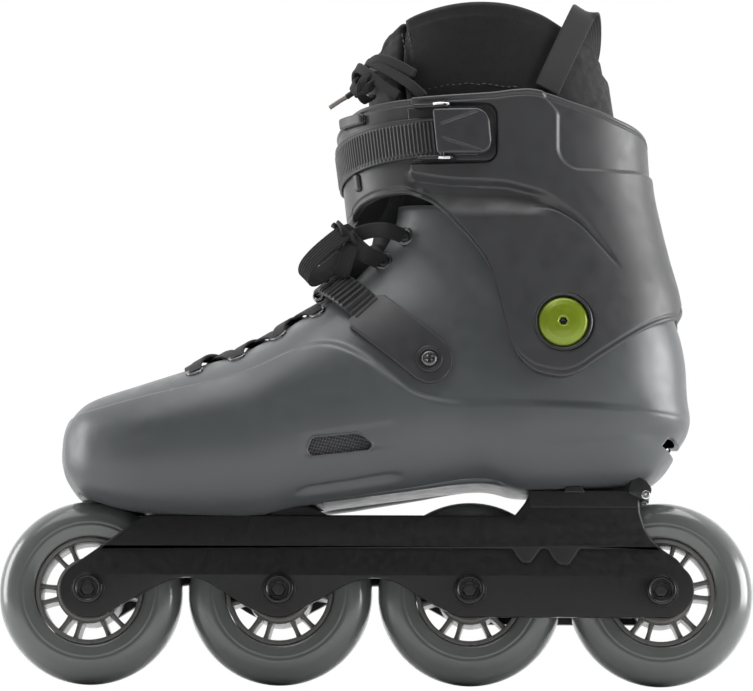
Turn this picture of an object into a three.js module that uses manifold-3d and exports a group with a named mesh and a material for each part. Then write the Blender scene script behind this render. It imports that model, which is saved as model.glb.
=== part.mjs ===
// An inline skate for the left foot: a moulded boot shell with a hinged cuff, a soft liner, ladder straps
// with buckles, and an aluminium frame that carries four wheels on bearings.
// Millimetres. X runs from the toe (-X) to the heel (+X), -Y is the outer side of the foot, +Z is up.
// The origin lies on the floor, midway between the wheels.
import * as THREE from "three";
import { mergeVertices } from "three/addons/utils/BufferGeometryUtils.js";
import Module from "manifold-3d";

const wasm = await Module();
wasm.setup();

// ---- driving dimensions ----
const GAP = 0.3; // between touching pieces

const WHEEL_RADIUS = 40;
const WHEEL_HALF_WIDTH = 12;
const WHEEL_PITCH = 82.4; // from axle to axle
const WHEEL_COUNT = 4;
const HUB_RIM_RADIUS = 23.2;
const HUB_WINDOW_RADIUS = 21.3; // outer end of the spokes
const HUB_CORE_RADIUS = 14;
const SPOKE_PAIRS = 6;
const SPOKE_HALF_SPREAD = 10; // degrees, from the middle of a pair to each spoke
const BEARING_RADIUS = 11;
const BEARING_WIDTH = 7;
const AXLE_RADIUS = 4;
const AXLE_HEAD_RADIUS = 6.5;

const PLATE_INNER = 13; // inner face of a frame side
const PLATE_OUTER = 17.5; // outer face below the step
const RAIL_OUTER = 18.7; // outer face of the thicker rail above the step
const STEP_Z = 57.6; // lower edge of the rail
const FRAME_TOP = 72.3;
const RISER_TOP = 83.2; // seat of the heel
const FRONT_BOLT_X = -82.4;
const REAR_BOLT_X = 84;

const PIVOT = { x: 81, z: 152 }; // the cuff turns about Y here
const CUFF_WALL = 3.2;
const SHELL_WALL = 3;
const LINER_WALL = 6;
const STRAP_SCREW = { x: 23.3, z: 136.2 };

// ---- solids ----
function solidOf(geometry) {
  const bare = geometry.clone();
  bare.deleteAttribute("normal");
  bare.deleteAttribute("uv");
  const merged = mergeVertices(bare, 1e-4);
  const corners = [];
  for (let i = 0; i < merged.index.count; i += 3) {
    const [a, b, c] = merged.index.array.slice(i, i + 3);
    if (a !== b && b !== c && c !== a) corners.push(a, b, c);
  }
  const build = (triVerts) =>
    new wasm.Manifold(
      new wasm.Mesh({ numProp: 3, vertProperties: merged.attributes.position.array, triVerts }),
    );
  const solid = build(new Uint32Array(corners));
  return solid.volume() >= 0 ? solid : build(new Uint32Array(corners.reverse()));
}

function geometryOf(solid) {
  const { numProp, numVert, vertProperties, triVerts } = solid.getMesh();
  const position = new Float32Array(numVert * 3);
  for (let i = 0; i < numVert; i++) {
    position.set(vertProperties.subarray(i * numProp, i * numProp + 3), i * 3);
  }
  const geometry = new THREE.BufferGeometry();
  geometry.setAttribute("position", new THREE.BufferAttribute(position, 3));
  geometry.setIndex(new THREE.BufferAttribute(new Uint32Array(triVerts), 1));
  geometry.computeVertexNormals();
  return geometry;
}

const union = (...solids) => solids.reduce((all, next) => all.add(next));
const cut = (solid, ...tools) => tools.reduce((left, tool) => left.subtract(tool), solid);

function block(x0, x1, y0, y1, z0, z1) {
  const box = new THREE.BoxGeometry(x1 - x0, y1 - y0, z1 - z0);
  return solidOf(box.translate((x0 + x1) / 2, (y0 + y1) / 2, (z0 + z1) / 2));
}

// A round bar along Y.
function barY(radius, y0, y1, x, z, sides = 20) {
  const bar = new THREE.CylinderGeometry(radius, radius, y1 - y0, sides);
  return solidOf(bar.translate(x, (y0 + y1) / 2, z));
}

// A round bar along Z.
function barZ(radius, z0, z1, x, y, sides = 20) {
  const bar = new THREE.CylinderGeometry(radius, radius, z1 - z0, sides);
  return solidOf(bar.rotateX(Math.PI / 2).translate(x, y, (z0 + z1) / 2));
}

// A round bar between two points.
function barBetween(from, to, radius, sides = 12) {
  const along = to.clone().sub(from);
  const bar = new THREE.CylinderGeometry(radius, radius, along.length(), sides);
  const turn = new THREE.Quaternion().setFromUnitVectors(new THREE.Vector3(0, 1, 0), along.normalize());
  return solidOf(bar.applyQuaternion(turn).translate(...from.clone().add(to).divideScalar(2)));
}

// A flat ribbon along a smooth curve through `points`. Its width lies along `across`, and turns to `last`.
function ribbon(points, across, width, thickness, steps, last = across) {
  const curve = new THREE.CatmullRomCurve3(points);
  const rings = Array.from({ length: steps + 1 }, (_, k) => {
    const place = curve.getPoint(k / steps);
    const along = curve.getTangent(k / steps);
    const lie = across.clone().lerp(last, k / steps);
    const side = lie.clone().addScaledVector(along, -lie.dot(along)).setLength(width / 2);
    const up = new THREE.Vector3().crossVectors(along, side).setLength(thickness / 2);
    return [[-1, -1], [1, -1], [1, 1], [-1, 1]].map(([a, b]) =>
      place.clone().addScaledVector(side, a).addScaledVector(up, b),
    );
  });
  return loft(rings, true);
}

// A screw's seat: a point of a surface and the surface's outward normal there.
function screwSeat(surface, x, z) {
  const place = surface(x, z, 0);
  const alongX = surface(x + 1, z, 0).sub(place);
  const alongZ = surface(x, z + 1, 0).sub(place);
  const normal = alongX.cross(alongZ).normalize();
  if (normal.y * place.y < 0) normal.negate();
  return { place, normal };
}

const onSeat = ({ place, normal }, height) => place.clone().addScaledVector(normal, height);
const screwHole = (seat, radius = 2.8) => barBetween(onSeat(seat, -8), onSeat(seat, 12), radius);

function screw(seat, depth, headSeat) {
  const shank = barBetween(onSeat(seat, -depth), onSeat(seat, headSeat + 1), 2.4);
  const head = barBetween(onSeat(seat, headSeat), onSeat(seat, headSeat + 2), 5.6, 20);
  const recess = barBetween(onSeat(seat, headSeat + 1), onSeat(seat, headSeat + 3), 1.6, 8);
  return cut(union(shank, head), recess);
}

// A side-view outline of [x, z] corners, extruded from y0 to y1.
function prism(outline, y0, y1) {
  const shape = new THREE.Shape(outline.map(([x, z]) => new THREE.Vector2(x, z)));
  const bar = new THREE.ExtrudeGeometry(shape, { depth: y1 - y0, bevelEnabled: false, curveSegments: 8 });
  return solidOf(bar.rotateX(Math.PI / 2).translate(0, y1, 0));
}

// A closed [radius, y] profile turned about the Y axis. A flat facet points down.
function turned(profile, sides) {
  const points = [...profile, profile[0]].map(([r, y]) => new THREE.Vector2(r / Math.cos(Math.PI / sides), y));
  const lathe = new THREE.LatheGeometry(points, sides, Math.PI / sides, 2 * Math.PI);
  return solidOf(lathe);
}

// A skin over rings of equal point count. A crescent-shaped ring is capped across its two arcs.
function loft(rings, crescent = false) {
  const count = rings[0].length;
  const points = rings.flat();
  const faces = [];
  for (let r = 0; r + 1 < rings.length; r++) {
    for (let k = 0; k < count; k++) {
      const a = r * count + k;
      const b = r * count + ((k + 1) % count);
      faces.push(a, b, b + count, a, b + count, a + count);
    }
  }
  [0, rings.length - 1].forEach((r, end) => {
    const base = r * count;
    const put = (a, b, c) => (end ? faces.push(a, b, c) : faces.push(c, b, a));
    if (crescent) {
      for (let k = 0; k + 1 < count / 2; k++) {
        const mate = count - 1 - k;
        put(base + k, base + k + 1, base + mate - 1);
        put(base + k, base + mate - 1, base + mate);
      }
    } else {
      points.push(rings[r].reduce((sum, p) => sum.add(p), new THREE.Vector3()).divideScalar(count));
      for (let k = 0; k < count; k++) put(base + k, base + ((k + 1) % count), points.length - 1);
    }
  });
  const geometry = new THREE.BufferGeometry().setFromPoints(points);
  geometry.setIndex(faces);
  return solidOf(geometry);
}

// ---- the boot's sections ----
// Each section is a rounded slice across the foot, from a point on the top line to one on the sole line.
const section = (topX, topZ, soleX, soleZ, half, shift) => ({
  top: new THREE.Vector2(topX, topZ),
  sole: new THREE.Vector2(soleX, soleZ),
  half,
  shift,
});

const SHELL_SECTIONS = [
  section(-137.8, 102.5, -137.8, 97, 7, 5),
  section(-135.4, 111, -134.6, 88.5, 22, 5),
  section(-130.5, 117.5, -128.5, 81.5, 31, 5),
  section(-122, 122.5, -119, 77.5, 38.5, 4.5),
  section(-103, 129, -101, 73.8, 46, 4),
  section(-78, 138, -76, 72.8, 49.5, 3.5),
  section(-56, 146.5, -50, 73, 50, 3),
  section(-34, 159.5, -33, 77.6, 48.5, 2),
  section(-22, 169.5, 8, 83.8, 46, 1),
  section(-12, 178.5, 44, 87.6, 44, 0),
  section(-5, 186, 63, 83.6, 43, 0),
  section(0, 193, 92, 83.6, 42.5, 0),
  section(2.5, 201, 119, 87, 42.5, 0),
  section(3, 209, 132, 102, 43.5, 0),
  section(2, 217, 135.4, 125, 43.5, 0),
  section(1, 225, 133, 151, 43, 0),
  section(-1, 240, 121, 182, 42, 0),
];

const CAVITY_SECTIONS = [
  section(-133, 104, -133, 97, 8, 5),
  section(-128, 113, -127.5, 89, 24, 5),
  section(-119, 119.5, -118, 86.8, 34, 4.5),
  section(-102, 126, -101, 86, 42.7, 4),
  section(-77, 135, -76, 86, 46.2, 3.5),
  section(-54, 143.5, -48, 86, 46.8, 3),
  section(-32, 156.3, -24, 86.8, 45.3, 2),
  section(-20, 166, 8, 88.8, 42.8, 1),
  section(-9.5, 175, 40, 92.2, 40.8, 0),
  section(-2.5, 182.5, 64, 90.5, 39.8, 0),
  section(3, 190, 92, 90.5, 39.3, 0),
  section(5.5, 199, 115, 93.5, 39.3, 0),
  section(6, 207, 128, 104.5, 40.2, 0),
  section(5, 216, 131.6, 125, 40.2, 0),
  section(4, 224, 129.5, 150, 39.7, 0),
  section(2, 240, 117.5, 181, 38.7, 0),
];

// Extra height under the liner's heel for the shock pad, one value for each cavity section.
const HEEL_PAD_RISE = [0, 0, 0, 0, 0, 0, 0, 1, 4, 6.4, 6.4, 6.4, 3, 0.5, 0, 0];

const COLLAR_SECTIONS = [
  section(1, 232, 114, 187, 38.8, 0),
  section(-3, 250, 109, 221, 41, 0),
  section(-5, 268, 104, 251, 41.5, 0),
  section(-4, 286, 100.5, 276, 41, 0),
  section(-3, 312, 97, 307, 39, 0),
];

// The same sections moved inwards: by `top` and `sole` along the section, by `side` across it.
function inset(sections, top, sole, side) {
  return sections.map((s, i) => {
    const along = s.sole.clone().sub(s.top).normalize();
    const rise = typeof sole === "number" ? sole : sole[i];
    return {
      top: s.top.clone().addScaledVector(along, top),
      sole: s.sole.clone().addScaledVector(along, -rise),
      half: s.half - side,
      shift: s.shift,
    };
  });
}

function mixSections(a, b, t) {
  return {
    top: a.top.clone().lerp(b.top, t),
    sole: a.sole.clone().lerp(b.sole, t),
    half: THREE.MathUtils.lerp(a.half, b.half, t),
    shift: THREE.MathUtils.lerp(a.shift, b.shift, t),
  };
}

// Sections a little before each of the given ones but the first.
const justBefore = (sections) => sections.slice(1).map((s, i) => mixSections(sections[i], s, 0.85));

const TOP_POWER = 2.2;
const SOLE_POWER = 3.2;
const HEEL_POWER = 2.3;

// The sole is squarer than the top of the foot, and the slices behind the heel are nearly round.
function solePower(s) {
  const lean = Math.abs(s.top.x - s.sole.x) / s.top.distanceTo(s.sole);
  return THREE.MathUtils.lerp(SOLE_POWER, HEEL_POWER, THREE.MathUtils.smoothstep(lean, 0.55, 0.8));
}

function sectionPoint(s, angle) {
  const c = Math.cos(angle);
  const n = Math.sin(angle);
  const power = 2 / (c > 0 ? TOP_POWER : solePower(s));
  const along = Math.sign(c) * Math.abs(c) ** power;
  const across = Math.sign(n) * Math.abs(n) ** power;
  const mid = s.top.clone().add(s.sole).multiplyScalar(0.5);
  const reach = s.top.clone().sub(mid);
  return new THREE.Vector3(mid.x + reach.x * along, s.shift + s.half * across, mid.y + reach.y * along);
}

const SHELL_SIDES = 24;
const LINER_SIDES = 16;

function boot(sections, sides) {
  return loft(
    sections.map((s) => Array.from({ length: sides }, (_, k) => sectionPoint(s, (2 * Math.PI * k) / sides))),
  );
}

// A band that lies along the boot: part of each section's rim, between two depths below it.
// `taper` says how much of the depth also narrows it.
function band(sections, middle, halfAngle, outer, inner, taper = 1, steps = 6) {
  const arc = (depth) =>
    inset(sections, depth, depth, depth * taper).map((s, i) => {
      const reach = Array.isArray(halfAngle) ? halfAngle[i] : halfAngle;
      return Array.from({ length: steps + 1 }, (_, k) =>
        sectionPoint(s, middle + reach * ((2 * k) / steps - 1)),
      );
    });
  const outside = arc(outer);
  const inside = arc(inner);
  return loft(
    outside.map((points, i) => [...points, ...inside[i].reverse()]),
    true,
  );
}

// How far the boot's surface stands from its middle at a side-view place (x, z).
function surfaceY(sections, x, z) {
  const place = new THREE.Vector2(x, z);
  const sideOf = (s) => s.sole.clone().sub(s.top).cross(place.clone().sub(s.top));
  for (let i = 0; i + 1 < sections.length; i++) {
    const [a, b] = [sections[i], sections[i + 1]];
    const [sa, sb] = [sideOf(a), sideOf(b)];
    if (sa * sb > 0) continue;
    let [low, high] = [0, 1];
    for (let step = 0; step < 30; step++) {
      const t = (low + high) / 2;
      if (sideOf(mixSections(a, b, t)) * sa > 0) low = t;
      else high = t;
    }
    const s = mixSections(a, b, low);
    const mid = s.top.clone().add(s.sole).multiplyScalar(0.5);
    const reach = s.top.clone().sub(mid);
    const along = place.clone().sub(mid).dot(reach) / reach.lengthSq();
    const power = along > 0 ? TOP_POWER : solePower(s);
    const across = Math.max(0, 1 - Math.min(1, Math.abs(along)) ** power) ** (1 / power);
    return { across: s.half * across, shift: s.shift };
  }
  return { across: 0, shift: 0 };
}

// ---- the cuff's rings ----
const CUFF_RINGS = [
  // height, front, back, half width
  [110, 4, 136.5, 47.5],
  [152, -6, 135, 48],
  [166, -9, 134.2, 48],
  [190, -12, 129.8, 48],
  [210, -14.2, 126.2, 48.6],
  [243, -18.6, 119.2, 50],
  [275, -22, 112, 51.5],
];
const CUFF_POWER = 2.6;

function cuffPoint(z, angle, offset) {
  const last = CUFF_RINGS.length - 2;
  const i = Math.min(last, Math.max(0, CUFF_RINGS.findIndex((ring) => ring[0] > z) - 1));
  const t = (z - CUFF_RINGS[i][0]) / (CUFF_RINGS[i + 1][0] - CUFF_RINGS[i][0]);
  const [, front, back, half] = CUFF_RINGS[i].map((v, k) => THREE.MathUtils.lerp(v, CUFF_RINGS[i + 1][k], t));
  const power = 2 / CUFF_POWER;
  const c = Math.cos(angle);
  const n = Math.sin(angle);
  return new THREE.Vector3(
    (front + back) / 2 + ((back - front) / 2 + offset) * Math.sign(c) * Math.abs(c) ** power,
    (half + offset) * Math.sign(n) * Math.abs(n) ** power,
    z,
  );
}

const CUFF_SIDES = 32;

function cuffTube(offset) {
  return loft(
    CUFF_RINGS.map(([z]) =>
      Array.from({ length: CUFF_SIDES }, (_, k) => cuffPoint(z, (2 * Math.PI * k) / CUFF_SIDES, offset)),
    ),
  );
}

// A strip on the cuff: from one angle to another, `heights(angle)` gives its lower and upper edge.
function cuffStrip(from, to, heights, inner, outer, steps = 18) {
  return loft(
    Array.from({ length: steps + 1 }, (_, k) => {
      const angle = from + ((to - from) * k) / steps;
      const [low, high] = heights(angle);
      return [
        cuffPoint(low, angle, inner),
        cuffPoint(high, angle, inner),
        cuffPoint(high, angle, outer),
        cuffPoint(low, angle, outer),
      ];
    }),
    true,
  );
}

// The angle on the cuff's outer (-Y) side where its surface passes x.
function cuffAngle(x, z) {
  const front = cuffPoint(z, Math.PI, 0).x;
  const back = cuffPoint(z, 0, 0).x;
  const share = (x - (front + back) / 2) / ((back - front) / 2);
  return -Math.acos(Math.sign(share) * Math.abs(share) ** (CUFF_POWER / 2));
}

// ---- materials and scene graph ----
const finish = (color, roughness, metalness = 0) => new THREE.MeshStandardMaterial({ color, roughness, metalness });
const LOOKS = {
  shell: finish(0x565b5b, 0.42),
  cuff: finish(0x3b3f40, 0.45),
  blackPlastic: finish(0x18191a, 0.5),
  frame: finish(0x1c1c1e, 0.55, 0.8),
  steel: finish(0xb9bcc0, 0.25, 1),
  blackSteel: finish(0x222326, 0.35, 0.9),
  green: finish(0x7fa51e, 0.35),
  tyre: finish(0x59605e, 0.3),
  hub: finish(0x9fa5a5, 0.35, 0.2),
  fabric: finish(0x141415, 0.95),
  lace: finish(0x0f0f10, 0.9),
  rubber: finish(0x202020, 0.85),
};

const skate = new THREE.Group();

function add(name, solid, look, parent = skate) {
  const mesh = new THREE.Mesh(geometryOf(solid), LOOKS[look].clone());
  mesh.name = name;
  parent.add(mesh);
  return mesh;
}

// ---- wheels ----
function tyre() {
  const half = WHEEL_HALF_WIDTH;
  return turned(
    [
      [HUB_RIM_RADIUS + GAP, -half + 1.6],
      [29, -half],
      [34.5, -half + 1.3],
      [38.6, -half + 5],
      [WHEEL_RADIUS, -3],
      [WHEEL_RADIUS, 3],
      [38.6, half - 5],
      [34.5, half - 1.3],
      [29, half],
      [HUB_RIM_RADIUS + GAP, half - 1.6],
    ],
    28,
  );
}

function hub() {
  const rimHalf = WHEEL_HALF_WIDTH - 1.6;
  const rim = turned(
    [
      [HUB_WINDOW_RADIUS, -rimHalf],
      [HUB_RIM_RADIUS, -rimHalf],
      [HUB_RIM_RADIUS, rimHalf],
      [HUB_WINDOW_RADIUS, rimHalf],
    ],
    24,
  );
  const core = turned(
    [
      [BEARING_RADIUS + GAP, -WHEEL_HALF_WIDTH],
      [HUB_CORE_RADIUS, -WHEEL_HALF_WIDTH],
      [HUB_CORE_RADIUS, WHEEL_HALF_WIDTH],
      [BEARING_RADIUS + GAP, WHEEL_HALF_WIDTH],
    ],
    18,
  );
  const spokes = [];
  for (let pair = 0; pair < SPOKE_PAIRS; pair++) {
    for (const side of [-1, 1]) {
      const turn = THREE.MathUtils.degToRad((360 / SPOKE_PAIRS) * pair + side * SPOKE_HALF_SPREAD);
      const middle = (HUB_CORE_RADIUS + HUB_WINDOW_RADIUS) / 2;
      const spoke = new THREE.BoxGeometry(HUB_WINDOW_RADIUS - HUB_CORE_RADIUS + 2, 13, 2);
      spokes.push(solidOf(spoke.translate(middle, 0, 0).rotateY(-turn)));
    }
  }
  return union(rim, core, ...spokes);
}

function bearing(side) {
  const inner = AXLE_RADIUS + GAP;
  const near = WHEEL_HALF_WIDTH - BEARING_WIDTH;
  return turned(
    [
      [inner, side * near],
      [BEARING_RADIUS, side * near],
      [BEARING_RADIUS, side * WHEEL_HALF_WIDTH],
      [inner, side * WHEEL_HALF_WIDTH],
    ],
    16,
  );
}

function spacer() {
  const half = WHEEL_HALF_WIDTH - BEARING_WIDTH - GAP;
  return turned(
    [
      [AXLE_RADIUS + GAP, -half],
      [AXLE_RADIUS + 2, -half],
      [AXLE_RADIUS + 2, half],
      [AXLE_RADIUS + GAP, half],
    ],
    12,
  );
}

// One-piece axle: the head with its hex socket is on the outer side, the far end is flush with the frame.
function axle() {
  const headFace = -PLATE_OUTER - 2;
  const body = union(
    barY(AXLE_RADIUS - 0.05, -PLATE_OUTER - GAP - 0.1, PLATE_OUTER, 0, 0, 16),
    barY(AXLE_HEAD_RADIUS, headFace, -PLATE_OUTER - GAP, 0, 0, 20),
  );
  return cut(body, barY(2.9, headFace - 1, headFace + 1.6, 0, 0, 6));
}

const axleX = (index) => (index - (WHEEL_COUNT - 1) / 2) * WHEEL_PITCH;

for (let index = 0; index < WHEEL_COUNT; index++) {
  const number = index + 1;
  const wheel = new THREE.Group();
  wheel.position.set(axleX(index), 0, WHEEL_RADIUS);
  skate.add(wheel);
  add(`wheel_${number}_tyre`, tyre(), "tyre", wheel);
  add(`wheel_${number}_hub`, hub(), "hub", wheel);
  add(`wheel_${number}_bearing_outer_side`, bearing(-1), "steel", wheel);
  add(`wheel_${number}_bearing_inner_side`, bearing(1), "steel", wheel);
  add(`wheel_${number}_spacer`, spacer(), "steel", wheel);
  add(`axle_${number}`, axle(), "blackSteel", wheel);
}

// ---- frame ----
// The lower edge hangs in a lobe round each axle and arches up between them.
const ARCH_TOP = 45;
const LOBE_BOTTOM = 28.3;

function archPoints(fromX, toX) {
  const middle = (fromX + toX) / 2;
  const reach = (toX - fromX) / 2;
  return Array.from({ length: 9 }, (_, k) => {
    const t = k / 4 - 1;
    const lift = (1 + Math.cos(Math.PI * t)) / 2;
    return [middle + reach * t, LOBE_BOTTOM + (ARCH_TOP - LOBE_BOTTOM) * lift];
  });
}

function endArc(cx, cz, radius, from, to, steps) {
  return Array.from({ length: steps + 1 }, (_, k) => {
    const angle = THREE.MathUtils.degToRad(from + ((to - from) * k) / steps);
    return [cx + radius * Math.cos(angle), cz + radius * Math.sin(angle)];
  });
}

function sideOutline() {
  const [first, second] = [axleX(0), axleX(1)];
  return [
    ...endArc(first, WHEEL_RADIUS, 12.2, 130, 262, 6),
    ...archPoints(first + 6, second - 6),
    ...archPoints(second + 6, axleX(2) - 6),
    ...endArc(axleX(3) + 1.5, WHEEL_RADIUS, 11.9, -84, 60, 6),
    [120, 61],
    [115.7, 68.5],
    [114, 75.4],
    [113.5, RISER_TOP],
    [66.5, RISER_TOP],
    [66, 79.2],
    [60.5, FRAME_TOP],
    [-20.3, FRAME_TOP],
    [-30, 75.6],
    [-37, 75.6],
    [-45.8, FRAME_TOP],
    [-101.3, FRAME_TOP],
    [-118, 59],
  ];
}

function railOutline() {
  return [
    [-118.6, STEP_Z],
    [59.4, STEP_Z],
    [63.5, 51.8],
    [67.4, 51.4],
    [71.9, STEP_Z],
    [74.3, STEP_Z],
    [79.5, 50.7],
    [83.8, 50.4],
    [88.6, STEP_Z],
    [123.6, STEP_Z],
    [120, 61],
    [115.7, 68.5],
    [114, 75.4],
    [113.5, RISER_TOP],
    [66.5, RISER_TOP],
    [66, 79.2],
    [60.5, FRAME_TOP],
    [-101.3, FRAME_TOP],
    [-117.2, 59.6],
  ];
}

function frameChassis() {
  const sides = [];
  for (const side of [-1, 1]) {
    const span = (a, b) => [Math.min(side * a, side * b), Math.max(side * a, side * b)];
    sides.push(prism(sideOutline(), ...span(PLATE_INNER, PLATE_OUTER)));
    sides.push(prism(railOutline(), ...span(PLATE_OUTER - 1, RAIL_OUTER)));
    for (let index = 0; index < WHEEL_COUNT; index++) {
      const boss = span(WHEEL_HALF_WIDTH + GAP, PLATE_INNER + 1);
      sides.push(barY(AXLE_RADIUS + 2.2, ...boss, axleX(index), WHEEL_RADIUS, 12));
    }
  }
  const decks = [
    block(-91, -74, -PLATE_INNER - 1, PLATE_INNER + 1, 66, FRAME_TOP),
    block(-6, 6, -PLATE_INNER - 1, PLATE_INNER + 1, 62, FRAME_TOP),
    block(68, 98, -PLATE_INNER - 1, PLATE_INNER + 1, 76, RISER_TOP),
    block(66.5, 113, -PLATE_INNER - 1, PLATE_INNER + 1, 81.2, RISER_TOP),
  ];
  const holes = [
    barZ(AXLE_RADIUS + GAP, 60, 90, FRONT_BOLT_X, 0, 16),
    barZ(AXLE_RADIUS + GAP, 60, 90, REAR_BOLT_X, 0, 16),
  ];
  for (let index = 0; index < WHEEL_COUNT; index++) {
    holes.push(barY(AXLE_RADIUS + GAP, -25, 25, axleX(index), WHEEL_RADIUS, 16));
  }
  return cut(union(...sides, ...decks), ...holes);
}
add("frame_chassis", frameChassis(), "frame");

// Each mounting bolt comes up from inside the frame and ends in a disc nut sunk into the boot's floor.
const MOUNTS = [
  { place: "front", x: FRONT_BOLT_X, headTop: 66 - GAP, nutLow: 81.6, nutHigh: 85.4 },
  { place: "rear", x: REAR_BOLT_X, headTop: 76 - GAP, nutLow: 86.6, nutHigh: 89.8 },
];

for (const { place, x, headTop, nutLow, nutHigh } of MOUNTS) {
  const head = barZ(6.6, headTop - 5, headTop, x, 0, 20);
  const socket = barZ(3, headTop - 6, headTop - 2.5, x, 0, 6);
  const shank = barZ(AXLE_RADIUS, headTop - 1, nutLow - GAP, x, 0, 16);
  add(`${place}_mount_bolt`, cut(union(head, shank), socket), "steel");
  add(`${place}_mount_nut`, barZ(8, nutLow, nutHigh, x, 0, 20), "steel");
}

// ---- boot shell ----
// The shell's upper edge, hidden under the cuff, falls from the instep to the heel.
const SHELL_RIM = [
  [-10, 208],
  [12, 207],
  [30, 205],
  [45, 196],
  [60, 184],
  [80, 174],
  [105, 169],
  [130, 168],
];
const belowRim = (drop) =>
  prism([[-200, 0], [200, 0], [200, 168 - drop], ...SHELL_RIM.map(([x, z]) => [x, z - drop]).reverse(), [-200, 208 - drop]], -90, 90);

const VENT = [
  [-28, 94.8],
  [-0.5, 98.3],
  [-0.5, 104.8],
  [-28, 101.4],
];

// A point on the boot shell's outside; side -1 is the outer side of the foot.
function shellPoint(x, z, height, side) {
  const { across, shift } = surfaceY(inset(SHELL_SECTIONS, -height, -height, -height), x, z);
  return new THREE.Vector3(x, shift + side * across, z);
}

const STRAP_SEATS = [-1, 1].map((side) =>
  screwSeat((x, z, height) => shellPoint(x, z, height, side), STRAP_SCREW.x, STRAP_SCREW.z),
);

function bootShell() {
  const throatAngles = [0.3, 0.3, 0.32, 0.34, 0.36, 0.38, 0.4, 0.42, 0.45, 0.5, 0.55, 0.6];
  const throat = band(justBefore(SHELL_SECTIONS.slice(4)), 0, throatAngles, -6, 8);
  const wells = [0, 1].map((index) =>
    barY(WHEEL_RADIUS + 2.4, -WHEEL_HALF_WIDTH - 2, WHEEL_HALF_WIDTH + 2, axleX(index), WHEEL_RADIUS, 32),
  );
  const holes = [
    barY(5.4, -70, 70, PIVOT.x, PIVOT.z),
    ...STRAP_SEATS.map((seat) => screwHole(seat)),
    prism(VENT, -70, 70),
    prism([[124.5, 103.6], [140, 109.5], [140, 105.5], [126, 100.6]], -30, 30),
  ];
  for (const { x, nutLow } of MOUNTS) {
    holes.push(barZ(AXLE_RADIUS + GAP, 60, nutLow, x, 0, 16));
    holes.push(barZ(8 + GAP, nutLow - GAP, 100, x, 0, 20));
  }
  return cut(
    boot(SHELL_SECTIONS, SHELL_SIDES).intersect(belowRim(0)),
    boot(CAVITY_SECTIONS, SHELL_SIDES),
    throat,
    ...wells,
    ...holes,
  );
}
add("boot_shell", bootShell(), "shell");

// Woven mesh set a little into each vent.
for (const [name, side] of [["vent_mesh_outer_side", -1], ["vent_mesh_inner_side", 1]]) {
  const rings = Array.from({ length: 7 }, (_, k) => {
    const x = -27.4 + (26.3 * k) / 6;
    const low = 95.3 + (3.4 * k) / 6;
    const corner = (z, depth) => {
      const { across, shift } = surfaceY(inset(SHELL_SECTIONS, depth, depth, depth), x, z);
      return new THREE.Vector3(x, shift + side * across, z);
    };
    return [corner(low, 1), corner(low + 5.6, 1), corner(low + 5.6, 2), corner(low, 2)];
  });
  add(name, loft(rings, true), "fabric");
}

// ---- cuff ----
const cuffTurns = [
  [-30, 241],
  [-17, 242],
  [-8, 249],
  [18, 250.5],
  [48, 251.5],
  [68, 253.6],
  [77, 251.8],
  [98, 246.5],
  [114, 243],
  [150, 241],
  [150, 164],
  [128, 160],
  [122, 155],
  [111.6, 147.5],
  [94, 135],
  [86, 130],
  [80, 128.2],
  [73, 129],
  [65.4, 133.3],
  [59.4, 142.7],
  [56.6, 153.5],
  [53.8, 163.1],
  [48.2, 178.4],
  [36.1, 193.2],
  [23.2, 204.6],
  [14.5, 208.4],
  [3.3, 208.4],
  [-6.6, 206],
  [-30, 209],
];

function cuff() {
  const wall = cut(cuffTube(0).intersect(prism(cuffTurns, -80, 80)), cuffTube(-CUFF_WALL));
  return cut(wall, barY(5.4, -70, 70, PIVOT.x, PIVOT.z), screwHole(LADDER_SCREW));
}

// The cuff turns on two bolts. Each has a disc nut inside the shell.
for (const [name, side] of [["outer_side", -1], ["inner_side", 1]]) {
  const span = (a, b) => [Math.min(side * a, side * b), Math.max(side * a, side * b)];
  const face = 51.2;
  const bolt = union(
    barY(10.75, ...span(48 + GAP + 0.2, face), PIVOT.x, PIVOT.z, 28),
    barY(5, ...span(38.7, 49), PIVOT.x, PIVOT.z, 20),
  );
  add(`cuff_bolt_${name}`, cut(bolt, barY(2, ...span(face - 2, face + 1), PIVOT.x, PIVOT.z, 6)), "green");
  add(`cuff_nut_${name}`, barY(8.5, ...span(36.2, 38.4), PIVOT.x, PIVOT.z, 20), "steel");
}

// ---- cuff buckle and ladder strap ----
const BUCKLE_LOW = 221.4;
const BUCKLE_HIGH = 246;
const STRAP_HALF_WIDTH = 8.6;
const LEVER_PIN = { x: 29, offset: 6.8 };

// The ladder strap's fixed end is screwed to the cuff on the inner side of the foot.
const LADDER_SCREW = screwSeat((x, z, depth) => cuffPoint(z, -cuffAngle(x, z), depth), 21, 231);

const strapMiddle = (angle) => 232.5 - 6.5 * Math.max(0, -Math.cos(angle)) ** 3;

function cuffBuckle() {
  const front = cuffAngle(15.4, 234);
  const back = cuffAngle(52, 234);
  const ears = cuffAngle(24, 234);
  const plate = cuffStrip(front, back, () => [BUCKLE_LOW, BUCKLE_HIGH], GAP, 1.3, 8);
  const lowEar = cuffStrip(ears, cuffAngle(36, 234), () => [BUCKLE_LOW, BUCKLE_LOW + 1.8], 1, 8, 3);
  const highEar = cuffStrip(ears, cuffAngle(36, 234), () => [BUCKLE_HIGH - 1.8, BUCKLE_HIGH], 1, 8, 3);
  const pinHole = barZ(1.2 + GAP, 200, 260, LEVER_PIN.x, pinY(), 12);
  return cut(union(plate, lowEar, highEar), pinHole);
}

function pinY() {
  return cuffPoint(234, cuffAngle(LEVER_PIN.x, 234), LEVER_PIN.offset).y;
}

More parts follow.
